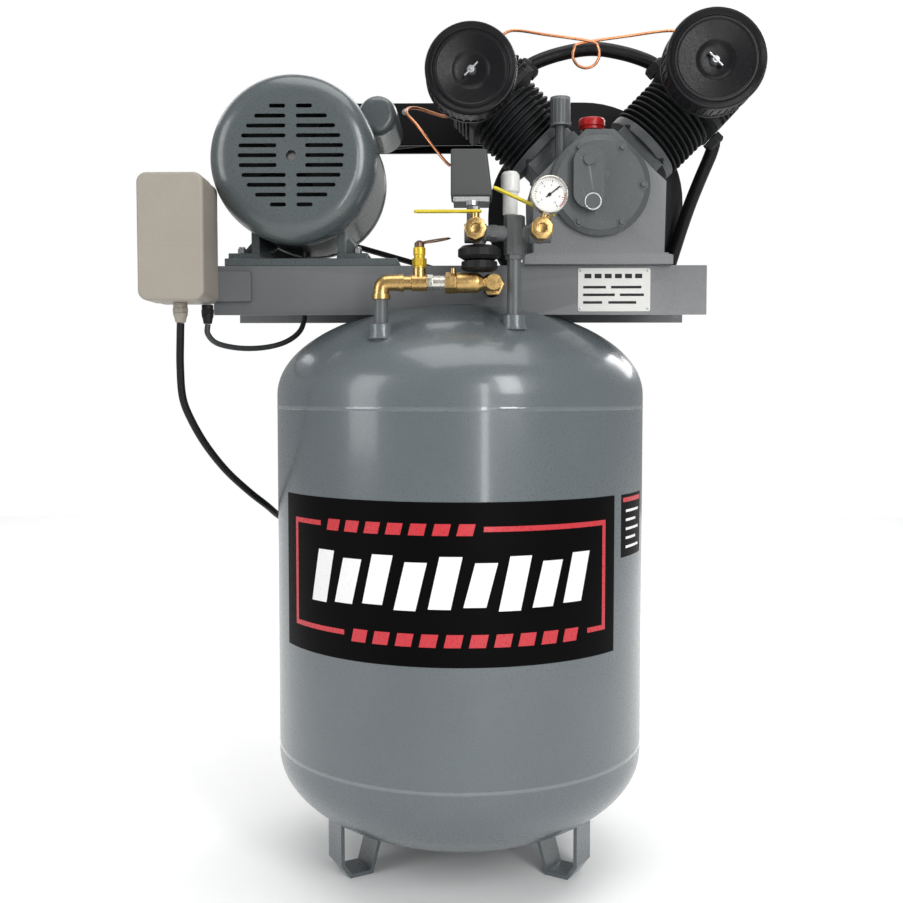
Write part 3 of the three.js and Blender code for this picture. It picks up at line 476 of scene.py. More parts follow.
# The supply cord's route: gland, slack beside the receiver, clip, floor. Repeated from part.mjs.
SUPPLY_ROUTE = [
    (-428, -165, 887.4),
    (-429, -164, 864),
    (-431, -159, 820),
    (-430, -150, 772),
    (-420, -134, 735),
    (-403, -108, 694),
    (-380, -70, 652),
    (-352, -26, 614),
    (-331, 16, 587),
    (-318, 64, 564),
    (-299, 124, 545),
    (-266, 180, 526),
    (-239, 212, 512),
    (-214, 236, 493),
    (-195, 250, 470),
    (CLIP_X - 2, CLIP_Y, 448),
    (CLIP_X, CLIP_Y, CLIP_Z),
    (CLIP_X, CLIP_Y, 380),
    (CLIP_X, CLIP_Y, 300),
    (CLIP_X, CLIP_Y, 200),
    (CLIP_X, CLIP_Y + 2, 110),
    (CLIP_X + 2, CLIP_Y + 12, 56),
    (CLIP_X + 12, CLIP_Y + 34, 20),
    (CLIP_X + 30, CLIP_Y + 54, 7),
    (CLIP_X + 56, CLIP_Y + 66, 6.6),
    (CLIP_X + 84, COIL_Y - 72, 6.6),
    (COIL_X - 45.5, COIL_Y - 72, 6.6),
]


def pipe(name, points, r, material, node, per_span=8, segments=24):
    """A tube along a smooth curve through the points."""
    path = smooth_path(points, per_span)
    return Piece(name).tube(path, r, segments).done(material, replaces=node, bevel=0)


def coil_turns():
    """Two turns on the floor, winding inwards, and two on top of them, winding out to the plug."""
    wide, narrow, low, high = 72, 60, 6.5, 18.4
    points = []
    for r0, r1, z0, z1 in (
        (wide, wide, low, low),
        (wide, narrow, low, low),
        (narrow, narrow, low, high),
        (narrow, wide, high, high),
    ):
        for k in range(16):
            t = k / 16
            ease = min(1, max(0, (t - 0.55) / 0.45))
            ease = ease * ease * (3 - 2 * ease)
            a = -math.pi / 2 + 2 * math.pi * t
            r = r0 + (r1 - r0) * ease
            points.append((COIL_X + r * math.cos(a), COIL_Y + r * math.sin(a), z0 + (z1 - z0) * ease))
    return points


PLUG_ROUTE = [(COIL_X, COIL_Y - 72, 18.4), (COIL_X + 24, COIL_Y - 72, 18.8), (COIL_X + 48, COIL_Y - 72, 19.3)]
CORD_RADIUS, CORD_DIAMETER = 5.9, 0.0118
CORD_PATH = smooth_path([*SUPPLY_ROUTE, *coil_turns(), *PLUG_ROUTE], 8)
cord = Piece("supply_cord").tube(CORD_PATH, CORD_RADIUS, 14).done(
    "jacket", replaces=("power_cord", "cord_coil"), bevel=0
)
plug = Piece("supply_plug")
PLUG_AT = shift(COIL_X + 46, COIL_Y - 72, 19.3) @ TO_RIGHT
plug.lathe(
    [
        (0, 0), (7.4, 0), (8, 1), (8, 5), (8.6, 5.6), (8.6, 9), (9, 10), (12, 15), (17, 22), (18.5, 26),
        (18.9, 46), (17.6, 50), (0, 50),
    ],
    PLUG_AT,
    48,
)
for a in range(12):
    plug.block(17.6, 18.9, -1.4, 1.4, 27, 45, PLUG_AT @ spun(a * math.pi / 6, "Z"))
for side in (-1, 1):
    plug.block(COIL_X + 95, COIL_X + 114, COIL_Y - 76, COIL_Y - 68, 18.3 + side * 9, 20.3 + side * 9)
plug = plug.done("plastic", replaces="plug", bevel=0.4)

LEAD_ROUTE = [
    (-394, -132, 887.4),
    (-394, -131, 872),
    (-382, -116, 858),
    (-352, -82, 852),
    (-317, -50, 855),
    (-288, -22, 866),
    (-268, -2, 886),
    (-262, 6, 915),
    (-262, 6, 950),
    (-262, 6, 990),
    (-262, 6, 1029),
]
pipe("lead", LEAD_ROUTE, 4.4, "grey_jacket", "motor_lead", 10, 14)


# Receiver ---------------------------------------------------------------------------------------------------


def head_height(r):
    return SHELL_TOP + HEAD_DEPTH * math.sqrt(1 - (r / 305) ** 2)


def receiver():
    rings = 26
    quarter = [i / rings * math.pi / 2 for i in range(rings + 1)]
    depth = HEAD_DEPTH - 0.8
    lower = [(TANK_RADIUS * math.sin(a), SHELL_BOTTOM - depth * math.cos(a)) for a in quarter]
    upper = [(TANK_RADIUS * math.cos(a), SHELL_TOP + depth * math.sin(a)) for a in quarter]
    lower[0] = (0, lower[0][1])
    upper[-1] = (0, upper[-1][1])
    body = Piece("receiver").lathe([*lower, *upper], segments=128)
    for x, y in ((RISER_X, RISER_Y), (CHECK_X, CHECK_Y)):
        top = head_height(math.hypot(x, y)) + 14
        body.lathe(
            [(0, top - 34), (20, top - 22), (17, top - 14), (17, top - 1), (15.5, top), (0, top)],
            shift(x, y),
            40,
        )
    body.lathe([(0, 225), (14, 225), (14, 261), (12.5, 262), (0, 262)], shift(62, 0, 97) @ TO_BACK, 32)
    body.lathe([(12, -8), (12, 8), (7, 8), (7, -8), (12, -8)], shift(CLIP_X, CLIP_Y, CLIP_Z), 32)
    body.done("tank", replaces="tank", bevel=0, slot="receiver_paint")
    # Circumferential welds: a low, slightly uneven bead where each head meets the shell. Its enamel is
    # glossier than the tank's, and its lighter colour is a painted highlight along each seam.
    for name, z in (("weld_low", 203), ("weld_high", 757)):
        bead = Piece(name)
        ring, around, across = [], 360, 6
        for k in range(around):
            t = 2 * math.pi * k / around
            ripple = 0.16 * math.sin(90 * t) + 0.1 * math.sin(37 * t + 1)
            for c in range(across):
                b = 2 * math.pi * c / across
                r = TANK_RADIUS - 0.6 + (1.05 + 0.5 * ripple) * math.cos(b)
                ring.append((r * math.cos(t), r * math.sin(t), z + (3.4 + ripple) * math.sin(b)))
        faces = []
        for k in range(around):
            n = (k + 1) % around
            for c in range(across):
                d = (c + 1) % across
                faces.append((k * across + c, n * across + c, n * across + d, k * across + d))
        bead.shell(ring, faces).done("bead", bevel=0, slot="receiver_paint")


def decal(name, start, end, z0, z1, proud, material, slant=0.0):
    """A thin curved plate on the shell; angles in degrees from the front towards the right."""
    steps = max(2, int(abs(end - start) / 1.5))
    rows = 8 if slant else 1
    vertices, faces = [], []
    for r in (TANK_RADIUS - 0.4, TANK_RADIUS + proud):
        for k in range(rows + 1):
            for i in range(steps + 1):
                t = math.radians(start + (end - start) * i / steps + slant * k / rows)
                vertices.append((r * math.sin(t), -r * math.cos(t), z0 + (z1 - z0) * k / rows))
    wide, layer = steps + 1, (steps + 1) * (rows + 1)
    for k in range(rows):
        for i in range(steps):
            a = k * wide + i
            faces += [
                (a, a + 1, a + wide + 1, a + wide),
                (a + layer, a + wide + layer, a + wide + layer + 1, a + layer + 1),
            ]
    rim = list(range(wide)) + [k * wide + steps for k in range(1, rows + 1)]
    rim += [rows * wide + i for i in range(steps - 1, -1, -1)] + [k * wide for k in range(rows - 1, 0, -1)]
    for a, b in zip(rim, rim[1:] + rim[:1]):
        faces.append((a, b, b + layer, a + layer))
    return Piece(name).shell(vertices, faces).done(material, bevel=0)


def labels():
    decal("label_field", -61.5, 51, 387, 625, 0.3, "vinyl")
    line = 7.5
    left, right, low, high = -55.5, 46.5, 424, 590
    turn = math.degrees(line / TANK_RADIUS)
    for side, a, b, base in (
        ("low_left", left, -33.5, low),
        ("low_right", 39, right, low),
        ("high_left", left, -42.5, high - line),
        ("high_right", 7, right, high - line),
    ):
        decal("label_frame_" + side, a, b, base, base + line, 0.5, "print_red")
    decal("label_frame_left", left, left + turn, low + line, high - line, 0.5, "print_red")
    decal("label_frame_right", right - turn, right, low + line, high - line, 0.5, "print_red")
    # A generic device in the middle: pale slanted bars between two red rules.
    for i in range(9):
        decal(
            f"label_bar_{i}",
            -46.5 + i * 9.6,
            -40.3 + i * 9.6,
            468 + i % 3 * 3,
            547 - i % 2 * 9,
            0.5,
            "print_white",
            slant=3.2,
        )
    for i in range(7):
        decal(f"label_dash_high_{i}", -40 + i * 6.6, -35.6 + i * 6.6, 577, 594, 0.5, "print_red", slant=0.8)
    for i in range(10):
        decal(f"label_dash_low_{i}", -31 + i * 6.8, -26.4 + i * 6.8, 416, 435, 0.5, "print_red", slant=0.8)
    decal("side_label_field", 55, 72, 527, 624, 0.3, "vinyl")
    for i in range(5):
        decal(f"side_label_line_{i}", 58, 69 - i % 2 * 3, 540 + i * 14, 544 + i * 14, 0.5, "print_white")
    decal("side_label_top", 56, 71, 612, 619, 0.5, "print_red")


receiver()
labels()
for name in ("foot_front_left", "foot_front_right", "foot_rear"):
    keep(name, "tank", 1.5, 3)
keep("drain_cock_body", "brass", 0.6)
keep("drain_cock_handle", "brass", 0.8)


# Platform ---------------------------------------------------------------------------------------------------

keep("platform", "platform", 2.2, 3)


def name_plate():
    """A blank pale plate with generic embossed rules, riveted to the platform's front."""
    x0, x1, z0, z1, y = 188, 302, 909, 977, -102
    plate = Piece("name_plate").prism(rounded(x0, x1, z0, z1, 3, 3), y - 1.1, y + 0.2)
    plate.done("plate", bevel=0.2)
    marks = Piece("name_plate_marks")
    for x in range(6):
        marks.block(x0 + 10 + x * 16, x0 + 21 + x * 16, y - 1.5, y - 1, z1 - 16, z1 - 9)
    for row, spans in enumerate([(8, 44, 52, 100), (8, 58, 66, 104), (8, 38, 48, 92)]):
        z = z1 - 28 - row * 12
        for a, b in zip(spans[::2], spans[1::2]):
            marks.block(x0 + a, x0 + b, y - 1.4, y - 1, z - 4, z)
    marks.done("plastic", bevel=0)
    rivets = Piece("name_plate_rivets")
    for x in (x0 + 4, x1 - 4):
        for z in (z0 + 4, z1 - 4):
            rivets.lathe([(0, 0), (2.2, 0), (1.8, 1), (0, 1.6)], shift(x, y - 1, z) @ TO_FRONT, 16)
    rivets.done("zinc", bevel=0)


name_plate()


# Motor ------------------------------------------------------------------------------------------------------


def cut_with(thing, piece):
    """Takes the piece's shells out of the thing."""
    piece.to_metres()
    cutter = piece.to_object()
    step = thing.modifiers.new("cut", "BOOLEAN")
    step.object = cutter
    step.operation = "DIFFERENCE"
    step.solver = "EXACT"
    with bpy.context.temp_override(object=thing, active_object=thing, selected_objects=[thing]):
        bpy.ops.object.modifier_move_to_index(modifier="cut", index=0)
        bpy.ops.object.modifier_apply(modifier="cut")
    bpy.data.objects.remove(cutter)


def motor():
    x, z = MOTOR
    here = shift(x, 0, z)
    back = here @ TO_BACK
    cover = Piece("fan_cover").lathe(
        [
            (0, -150), (98, -150), (103, -149.4), (111, -147.2), (119, -143), (126, -135.5), (129.5, -127),
            (131, -117),
            (131, -97), (129.6, -96), (129.6, -92), (128.2, -92), (128.2, -117), (124, -131), (116, -140.6),
            (104, -146),
            (98, -147.4), (0, -147.4),
        ],
        back,
        96,
    )
    cover = cover.done("motor", replaces="motor_fan_cover", bevel=0.5)
    slots = Piece("slot_cutter")
    for row in range(-5, 6):
        h = row * 15
        reach = math.sqrt(82**2 - h**2)
        inner = 22 if abs(row) < 2 else 8
        for a, b in ((-reach, -inner), (inner, reach)):
            slots.prism(rounded(a, b, h - 3.1, h + 3.1, 3, 4), -160, -140, here)
    slots.bar(8, -160, -140, back)
    cut_with(cover, slots)
    screws = Piece("fan_cover_screws")
    for i in range(6):
        a = math.radians(30 + 60 * i)
        at = (x + 93 * math.cos(a), -149.8, z + 93 * math.sin(a))
        screws.lathe([(0, -0.5), (4.4, -0.5), (4, 0.19), (0, 0.1)], shift(*at) @ TO_FRONT, 20)
    screws.done("zinc", bevel=0)

    body = Piece("motor_body").lathe(
        [
            (0, -91.7), (127.8, -91.7), (127.8, -72), (126.4, -70), (126.4, 92), (128, 94), (128, 108),
            (56, 108),
            (56, 100), (0, 100),
        ],
        back,
        96,
    )
    plate_low, plate_top = 981.8, 993.8
    body.block(x - 115, x + 160, -101, 100, plate_low, plate_top)
    for side in (-1, 1):
        low, high = sorted((side * 62, side * 112))
        body.block(x + low, x + high, -86, 98, plate_top - 1, plate_top + 10)
        low, high = sorted((side * 63, side * 76))
        body.block(x + low, x + high, -80, 92, plate_top + 6, z - 92)
        for y in (-40, 12, 60):
            low, high = sorted((side * 74, side * 104))
            corners = [(x + low, plate_top + 8), (x + high, plate_top + 8), (x + side * 74, plate_top + 42)]
            body.prism(corners, y - 4, y + 4)
    body.done("motor", replaces="motor_frame", bevel=1.2, segments=3)
    bolts = Piece("motor_bolts")
    for side in (-1, 1):
        for y in (-66, 76):
            bolts.bolt((x + side * 94, y, plate_top + 10), (0, 0, 1), 12, 10)
            bolts.bar(5, 10, 22, shift(x + side * 94, y, plate_top), 20)
    bolts.done("zinc", bevel=0.4)

    bell = Piece("end_bell").lathe(
        [
            (13, 108.3), (127, 108.3), (127, 116), (124, 119), (98, 129), (66, 138), (58, 142), (52, 147.6),
            (13, 148), (13, 108.3),
        ],
        back,
        96,
    )
    for i in range(8):
        a = math.pi / 8 + i * math.pi / 4
        bell.block(50, 112, -2.5, 2.5, 114, 133, back @ spun(a, "Z"))
    bell.done("motor", replaces="motor_end_bell", bevel=1)
    rods = Piece("through_bolts")
    for i in range(4):
        a = math.pi / 4 + i * math.pi / 2
        rods.bolt((x + 112 * math.cos(a), 121, z + 112 * math.sin(a)), (0, 1, 0), 7, 5)
    rods.done("zinc", bevel=0.3)

    shaft = Piece("motor_spindle").bar(12, -138, 213, back).bar(53, -60, 98, back)
    shaft.bar(3, 212, 214, back)
    shaft.done("shaft", "rotor", "motor_shaft", bevel=0.8)
    fan = Piece("cooling_fan").lathe([(12.4, -136), (22, -136), (24, -104), (12.4, -104), (12.4, -136)], back)
    fan.ring(22, 100, -107, -104.4, back)
    for i in range(7):
        fan.block(20, 101, -1.4, 1.4, -132, -106, back @ spun(i * 2 * math.pi / 7, "Z"))
    fan.done("plastic", "rotor", "motor_fan", bevel=0.5)
    motor_sheave()

    cx, cz = x + 127.5, z + 79
    can = Piece("capacitor_housing").lathe(
        [
            (0, -82), (19, -82), (25, -80.5), (29, -77), (31.4, -70), (32, -64), (32, 60), (30.5, 66),
            (26, 70), (0, 70),
        ],
        shift(cx, 0, cz) @ TO_BACK,
        48,
    )
    can.block(-43, 6, -60, 56, -13.5, 13.5, shift(cx, 0, cz) @ spun(-0.57))
    can.done("motor", replaces="capacitor_cover", bevel=1.5, segments=3)
    plate = Piece("motor_plate").shell(*curved_plate(x, z, 126.2, 127.8, 8, 46, -40, 40))
    plate.done("plate", bevel=0.2)


def curved_plate(x, z, r0, r1, start, end, y0, y1):
    """A thin plate bent round the motor; angles in degrees from +X upwards."""
    vertices, faces, steps = [], [], 12
    for i in range(steps + 1):
        a = math.radians(180 - (start + (end - start) * i / steps))
        for r in (r0, r1):
            for y in (y0, y1):
                vertices.append((x + r * math.cos(a), y, z + r * math.sin(a)))
    for i in range(steps):
        a, b = 4 * i, 4 * i + 4
        faces += [
            (a, b, b + 1, a + 1), (a + 2, a + 3, b + 3, b + 2), (a, a + 2, b + 2, b),
            (a + 1, b + 1, b + 3, a + 3),
        ]
    faces += [(0, 1, 3, 2), (4 * steps, 4 * steps + 2, 4 * steps + 3, 4 * steps + 1)]
    return vertices, faces


def groove_profile(inner, bottom, top, y0, y1, belts=2):
    """The section of a grooved rim, from its inner radius out and back, along the shaft."""
    lip = 4.5
    width = (y1 - y0 - lip) / belts
    points = [(inner, y0), (top, y0), (top, y0 + lip)]
    for i in range(belts):
        start = y0 + lip + i * width
        points += [
            (bottom, start + 2.4), (bottom, start + width - lip - 2.4), (top, start + width - lip),
            (top, start + width),
        ]
    return [*points[:-1], (top, y1), (inner, y1), (inner, y0)]


def motor_sheave():
    x, z = MOTOR
    here = shift(x, 0, z) @ TO_BACK
    bore = 12.3
    wheel = Piece("motor_sheave").lathe(groove_profile(bore, SHEAVE_GROOVE, 78, 167, 205), here, 96)
    wheel.lathe([(bore, 160), (33, 160), (34, 161), (34, 168), (bore, 168), (bore, 160)], here, 48)
    wheel.ring(bore, 24, 204, 206, here, 48)
    made = wheel.done("iron", "rotor", "motor_pulley", bevel=0.5)
    drill = Piece("motor_sheave_drill")
    for i in range(4):
        a = (i + 0.5) * math.pi / 2
        drill.bar(12, 150, 215, shift(x + 49 * math.cos(a), 0, z + 49 * math.sin(a)) @ TO_BACK)
    cut_with(made, drill)


motor()


# Belt drive -------------------------------------------------------------------------------------------------


def belt_outline(out, steps=72):
    """The loop round both wheels at a distance beyond their grooves."""
    (ax, az), (bx, bz) = MOTOR, PUMP
    ra, rb = SHEAVE_GROOVE + out, WHEEL_GROOVE + out
    tilt = math.atan2(bz - az, bx - ax)
    lean = math.asin((rb - ra) / math.hypot(bx - ax, bz - az))
    top = math.pi / 2 + lean
    points = []
    for k in range(steps + 1):
        a = tilt + top + (2 * math.pi - 2 * top) * k / steps
        points.append((ax + ra * math.cos(a), az + ra * math.sin(a)))
    for k in range(steps + 1):
        a = tilt - top + 2 * top * k / steps
        points.append((bx + rb * math.cos(a), bz + rb * math.sin(a)))
    return points


def belt_drive():
    belts = Piece("belts")
    for y0, y1 in ((172.2, 184.4), (187.6, 199.8)):
        belts.frame(belt_outline(9.6), belt_outline(1.6), y0, y1)
    belts.done("rubber", replaces="drive_belt", bevel=1.2)
    x, z = PUMP
    here = shift(x, 0, z) @ TO_BACK
    wheel = Piece("drive_wheel").lathe(groove_profile(137, WHEEL_GROOVE, 168.6, 163, 209), here, 128)
    wheel.lathe([(16.3, 161), (33, 161), (34, 162), (34, 208), (33, 209), (16.3, 209), (16.3, 161)], here, 64)
    for i in range(5):
        arm = here @ spun(i * 2 * math.pi / 5 + 0.3, "Z")
        outline = [(30, -17), (60, -12), (110, -11), (139, -17), (139, 17), (110, 11), (60, 12), (30, 17)]
        wheel.slab(outline, 177, 195, arm)
    wheel.done("iron", "crank", "flywheel", bevel=1.2, segments=3)
    web = Piece("crank").bar(49.5, 23, 42, here, 64).bar(20, 41, 124, here, 48).bar(
        15.9, 123, 213.5, here, 48
    )
    web.done("shaft", "crank", "crankshaft", bevel=0.8)
    lock = Piece("wheel_lock").bolt((x, 209, z), (0, 1, 0), 17, 4.8)
    lock.done("zinc", "crank", bevel=0.4)


def belt_guard():
    x0, x1, z0, z1 = -360, 400, 912, 1301
    corners = [100, 180, 180, 100]

    def ring(inset):
        return rounded(
            x0 + inset, x1 - inset, z0 + inset, z1 - inset, [max(r - inset, 8) for r in corners], 16
        )

    guard = Piece("guard_shell")
    guard.frame(ring(0), ring(2.5), 150, 224)
    for y in (150, 221.5):
        guard.frame(ring(1.5), ring(75), y, y + 2.5)
        guard.frame(ring(73), ring(75), min(y, 217), min(y, 217) + 7)
    for x in (-220, 180):
        guard.block(x, x + 50, 102.3, 151, 940, 970)
    guard.done("black", replaces="belt_guard", bevel=0.8)
    bolts = Piece("guard_bolts")
    for x in (-300, -100, 100, 320):
        for z in (z0 + 16, z1 - 16):
            if abs(x) < 200 or z < 1000:
                bolts.bolt((x, 150.2, z), (0, -1, 0), 6, 4)
    bolts.done("zinc", bevel=0.3)


belt_drive()
belt_guard()


# Pump -------------------------------------------------------------------------------------------------------


def pump_case():
    keep("crankcase", "casting", 2.4, 3)
    x, z = PUMP
    cover = Piece("bearing_housing").lathe(
        [(0, -118.3), (77, -118.3), (78, -119.5), (78, -125), (76, -127), (71, -129), (69, -131), (0, -131)][
            ::-1
        ],
        shift(x, 0, z) @ TO_BACK,
        96,
    )
    cover.prism([(x + a, z + b) for a, b in rounded(-43, 5, -38, 57, 23.9, 12)], -146, -124)
    cover = cover.done("casting", replaces="bearing_cover", bevel=2, segments=3)
    drill = Piece("cover_drill")
    drill.bar(11.2, -150, -138, shift(x - 13, 0, z - 28) @ TO_BACK)
    drill.bar(9, -150, -136, shift(x - 19, 0, z + 36) @ TO_BACK)
    cut_with(cover, drill)
    glass = Piece("sight_glass").lathe(
        [(0, -148.6), (7, -148.4), (10.2, -147.2), (10.2, -140.4), (0, -140.4)],
        shift(x - 13, 0, z - 28) @ TO_BACK,
        40,
    )
    glass.done("oil", replaces="oil_sight_glass", bevel=0, slot="sight_glass")
    rim = Piece("sight_rim").lathe(
        [(10.4, 0), (14, 0), (13, 2.4), (10.4, 2.4), (10.4, 0)], shift(x - 13, -145.8, z - 28) @ TO_FRONT, 40
    )
    rim.done("zinc", bevel=0)
    bolts = Piece("case_bolts")
    for i in range(6):
        a = math.radians(i * 60)
        bolts.bolt((x + 66 * math.cos(a), -130.6, z + 66 * math.sin(a)), (0, -1, 0), 8, 5.5)
    for side in (-1, 1):
        for y in (-92, 76):
            bolts.bolt((x + side * 109, y, 995.5), (0, 0, 1), 8, 7)
    bolts.done("casting", bevel=0.4)
    vent = Piece("breather").lathe(
        [(0, 98.2), (13, 98.2), (15.9, 101), (15.9, 137), (13.5, 141), (0, 141.8)], shift(x - 60, -96, z), 40
    )
    vent.done("casting", bevel=0.6)
    ribs = Piece("case_ribs")
    for side in (-1, 1):
        for y in (-60, 0, 60):
            ribs.prism(
                [(x + side * 100, 995), (x + side * 113, 995), (x + side * 103, 1080), (x + side * 98, 1090)],
                y - 3.5,
                y + 3.5,
            )
    ribs.done("casting", bevel=1)
    cap = Piece("filler").lathe(
        [(0, 113.3), (20, 113.3), (20, 118), (22, 119), (22, 129), (20, 132), (16, 133), (0, 133)],
        shift(x, 0, z),
        48,
    )
    for i in range(12):
        cap.block(20, 21.9, -2, 2, 119.5, 128.5, shift(x, 0, z) @ spun(i * math.pi / 6, "Z"))
    cap.done("red", "filler_cap", "oil_filler_cap", bevel=0.5)


def bank(side, name, filter_at):
    place = shift(PUMP[0], 0, PUMP[1]) @ spun(side * BANK)
    bore = 36.6
    hole = [
        (bore * math.cos(math.pi + k * math.pi / 18), bore * math.sin(math.pi + k * math.pi / 18))
        for k in range(36)
    ]
    stack = Piece("cylinder_stack_" + name)
    stack.frame(rounded(-46, 46, -57, 57, 3), hole, 78.4, 96, place @ TO_FRONT)
    stack.frame(rounded(-44, 44, -52, 52, 3), hole, 94, 112, place @ TO_FRONT)
    stack.ring(bore, 64, 110, 126, place)
    stack.done("casting", replaces="cylinder_" + name, bevel=2, segments=3)
    fins = Piece("cylinder_fins_" + name)
    fins.ring(bore, 50, 125, 209.6, place)
    for k in range(8):
        low = 129 + k * 9.9
        fin = [
            (48, low), (64.5, low), (66, low + 1.2), (66, low + 2.6), (64.5, low + 3.8), (48, low + 3.8),
            (48, low),
        ]
        fins.lathe(fin, place)
    fins.done("iron", bevel=0.4)

    head = Piece("head_block_" + name)
    for half, z0, z1 in (
        (68, 210.4, 220), (62, 219, 250), (68, 226, 229.5), (68, 234, 237.5), (68, 242, 245.5),
        (67.6, 250, 258),
    ):
        head.slab(rounded(-half, half, -half, half, 14, 6), z0, z1, place)
    for k in range(11):
        v = -55 + k * 11
        head.block(-60, 60, v - 1.9, v + 1.9, 256, 274.6, place)
    head.done("iron", replaces="cylinder_head_" + name, bevel=0.9)
    bolts = Piece("head_bolts_" + name)
    outwards = place.to_3x3() @ Vector((0, 0, 1))
    for across, deep, along, size, height in ((56, 60.5, 257.5, 8, 7), (38, 50, 111.5, 7, 6)):
        for u in (-across, across):
            for v in (-deep, deep):
                bolts.bolt(place @ Vector((u, v, along)), outwards, size, height)
    bolts.done("iron", bevel=0.4)
    keep("piston_" + name, "alloy", 0.6)
    keep("connecting_rod_" + name, "shaft", 0.6)

    fx, fz, radius = filter_at
    here = place @ shift(fx, 0, fz) @ TO_BACK
    can = Piece("intake_filter_" + name).lathe(
        [
            (0, -185), (20, -185), (27, -188), (31, -191), (radius - 19, -194), (radius - 16, -196.5),
            (radius - 13, -196.5),
            (radius - 11, -194.5), (radius - 8, -196), (radius - 4, -199.6), (radius - 1.5, -199),
            (radius, -196),
            (radius, -190), (radius - 2, -188), (radius - 2, -154), (radius, -152), (radius, -147),
            (radius - 2, -143),
            (radius - 7, -140), (0, -140),
        ],
        here,
        96,
    )
    can.lathe([(0, -141), (24, -141), (24, -74), (27, -73), (27, -68.4), (0, -68.4)], here, 48)
    can.done("black", replaces="air_filter_" + name, bevel=0.5)
    slats = Piece("filter_slats_" + name)
    for k in range(40):
        slats.block(radius - 2.4, radius - 0.5, -1.6, 1.6, -186, -156, here @ spun(k * math.pi / 20, "Z"))
    slats.done("black", bevel=0.2)
    nut = Piece("filter_nut_" + name).lathe([(0, -193), (5, -193), (7, -190), (8, -184), (0, -184)], here, 24)
    nut.block(-14, 14, -1.2, 1.2, -194, -187, here)
    nut.bar(2.5, -196, -190, here, 16)
    nut.done("zinc", bevel=0.4)


pump_case()
bank(-1, "left", (-29, 255, 69))
bank(1, "right", (-6.8, 236.8, 75))


# Tubes ------------------------------------------------------------------------------------------------------


def on_bank(side, across, y, along):
    x, z = side * along + across, along - side * across
    return (PUMP[0] + x * math.sqrt(0.5), y, PUMP[1] + z * math.sqrt(0.5))


def fitting(name, a, b, radius, material="brass"):
    """A compression nut round a tube's end, from a towards b."""
    a, b = Vector(a), Vector(b)
    place = aimed(a, b)
    nut = Piece(name).lathe(
        [
            (0, 0.2), (radius * 1.45, 0.2), (radius * 1.6, 1.2), (radius * 1.6, radius * 1.2),
            (radius * 1.2, radius * 1.5), (0, radius * 1.5),
        ],
        place,
        6,
    )
    nut.done(material, bevel=0.3)


def tubes():
    out = 68.9
    crossover = [
        on_bank(-1, out, 0, 226),
        on_bank(-1, out + 20, 0, 227),
        (166, 0, 1341),
        (219, 0, 1349),
        (272, 0, 1341),
        on_bank(1, -out - 20, 0, 227),
        on_bank(1, -out, 0, 226),
    ]
    pipe("crossover", crossover, 11.5, "black", "crossover_tube", 14)
    fitting("crossover_nut_left", crossover[0], crossover[1], 12, "iron")
    fitting("crossover_nut_right", crossover[-1], crossover[-2], 12, "iron")
    discharge = [
        on_bank(1, 68.3, 40, 222),
        on_bank(1, 77, 40, 222),
        (427, 49, 1186),
        (415, 66, 1152),
        (402, 88, 1112),
        (391, 108, 1072),
        (382, 123, 1036),
        (373, 131, 1003),
        (363, 134, 970),
        (351, 122, 948),
        (350, 98, 943),
        (336, 62, 947),
        (290, 24, 951),
        (205, -2, 952),
        (120, -22, 952),
        (72, -50, 950),
        (53, -90, 946),
        (52, -125, 944),
        (52, -165, 943),
        (52, CHECK_Y + 22.3, 943),
    ]
    pipe("discharge", discharge, 11, "black", "discharge_tube")
    fitting("discharge_nut", discharge[0], discharge[1], 11, "iron")
    fitting("discharge_end_nut", discharge[-1], discharge[-2], 11, "brass")
    y = -58
    turn = []
    for i in range(9):
        a = math.pi * (0.62 + i / 8 * 1.76)
        turn.append((203 - 21 * math.cos(a), y - 4 + i, 1322 + 21 * math.sin(a)))
    unloader = [
        on_bank(-1, 60, y, 275.9),
        on_bank(-1, 62, y, 283),
        (84, y - 2, 1360),
        (140, y - 5, 1352),
        *turn,
        (270, y + 3, 1352),
        (340, y + 3, 1360),
        on_bank(1, -64, y, 285),
        on_bank(1, -60, y, 275.9),
    ]
    pipe("unloader_line", unloader, 2.3, "copper", "unloader_tube", segments=12)
    pilot = [
        on_bank(-1, -68.3, -40, 262),
        on_bank(-1, -82, -42, 262),
        (-70, -70, 1236),
        (-84, -100, 1222),
        (-66, -125, 1196),
        (-42, -140, 1162),
        (-22, -149, 1136),
        (-13.5, -150, 1128),
    ]
    pipe("pilot_line", pilot, 2.4, "copper", "pilot_tube", segments=12)


tubes()


# Outlet group -----------------------------------------------------------------------------------------------


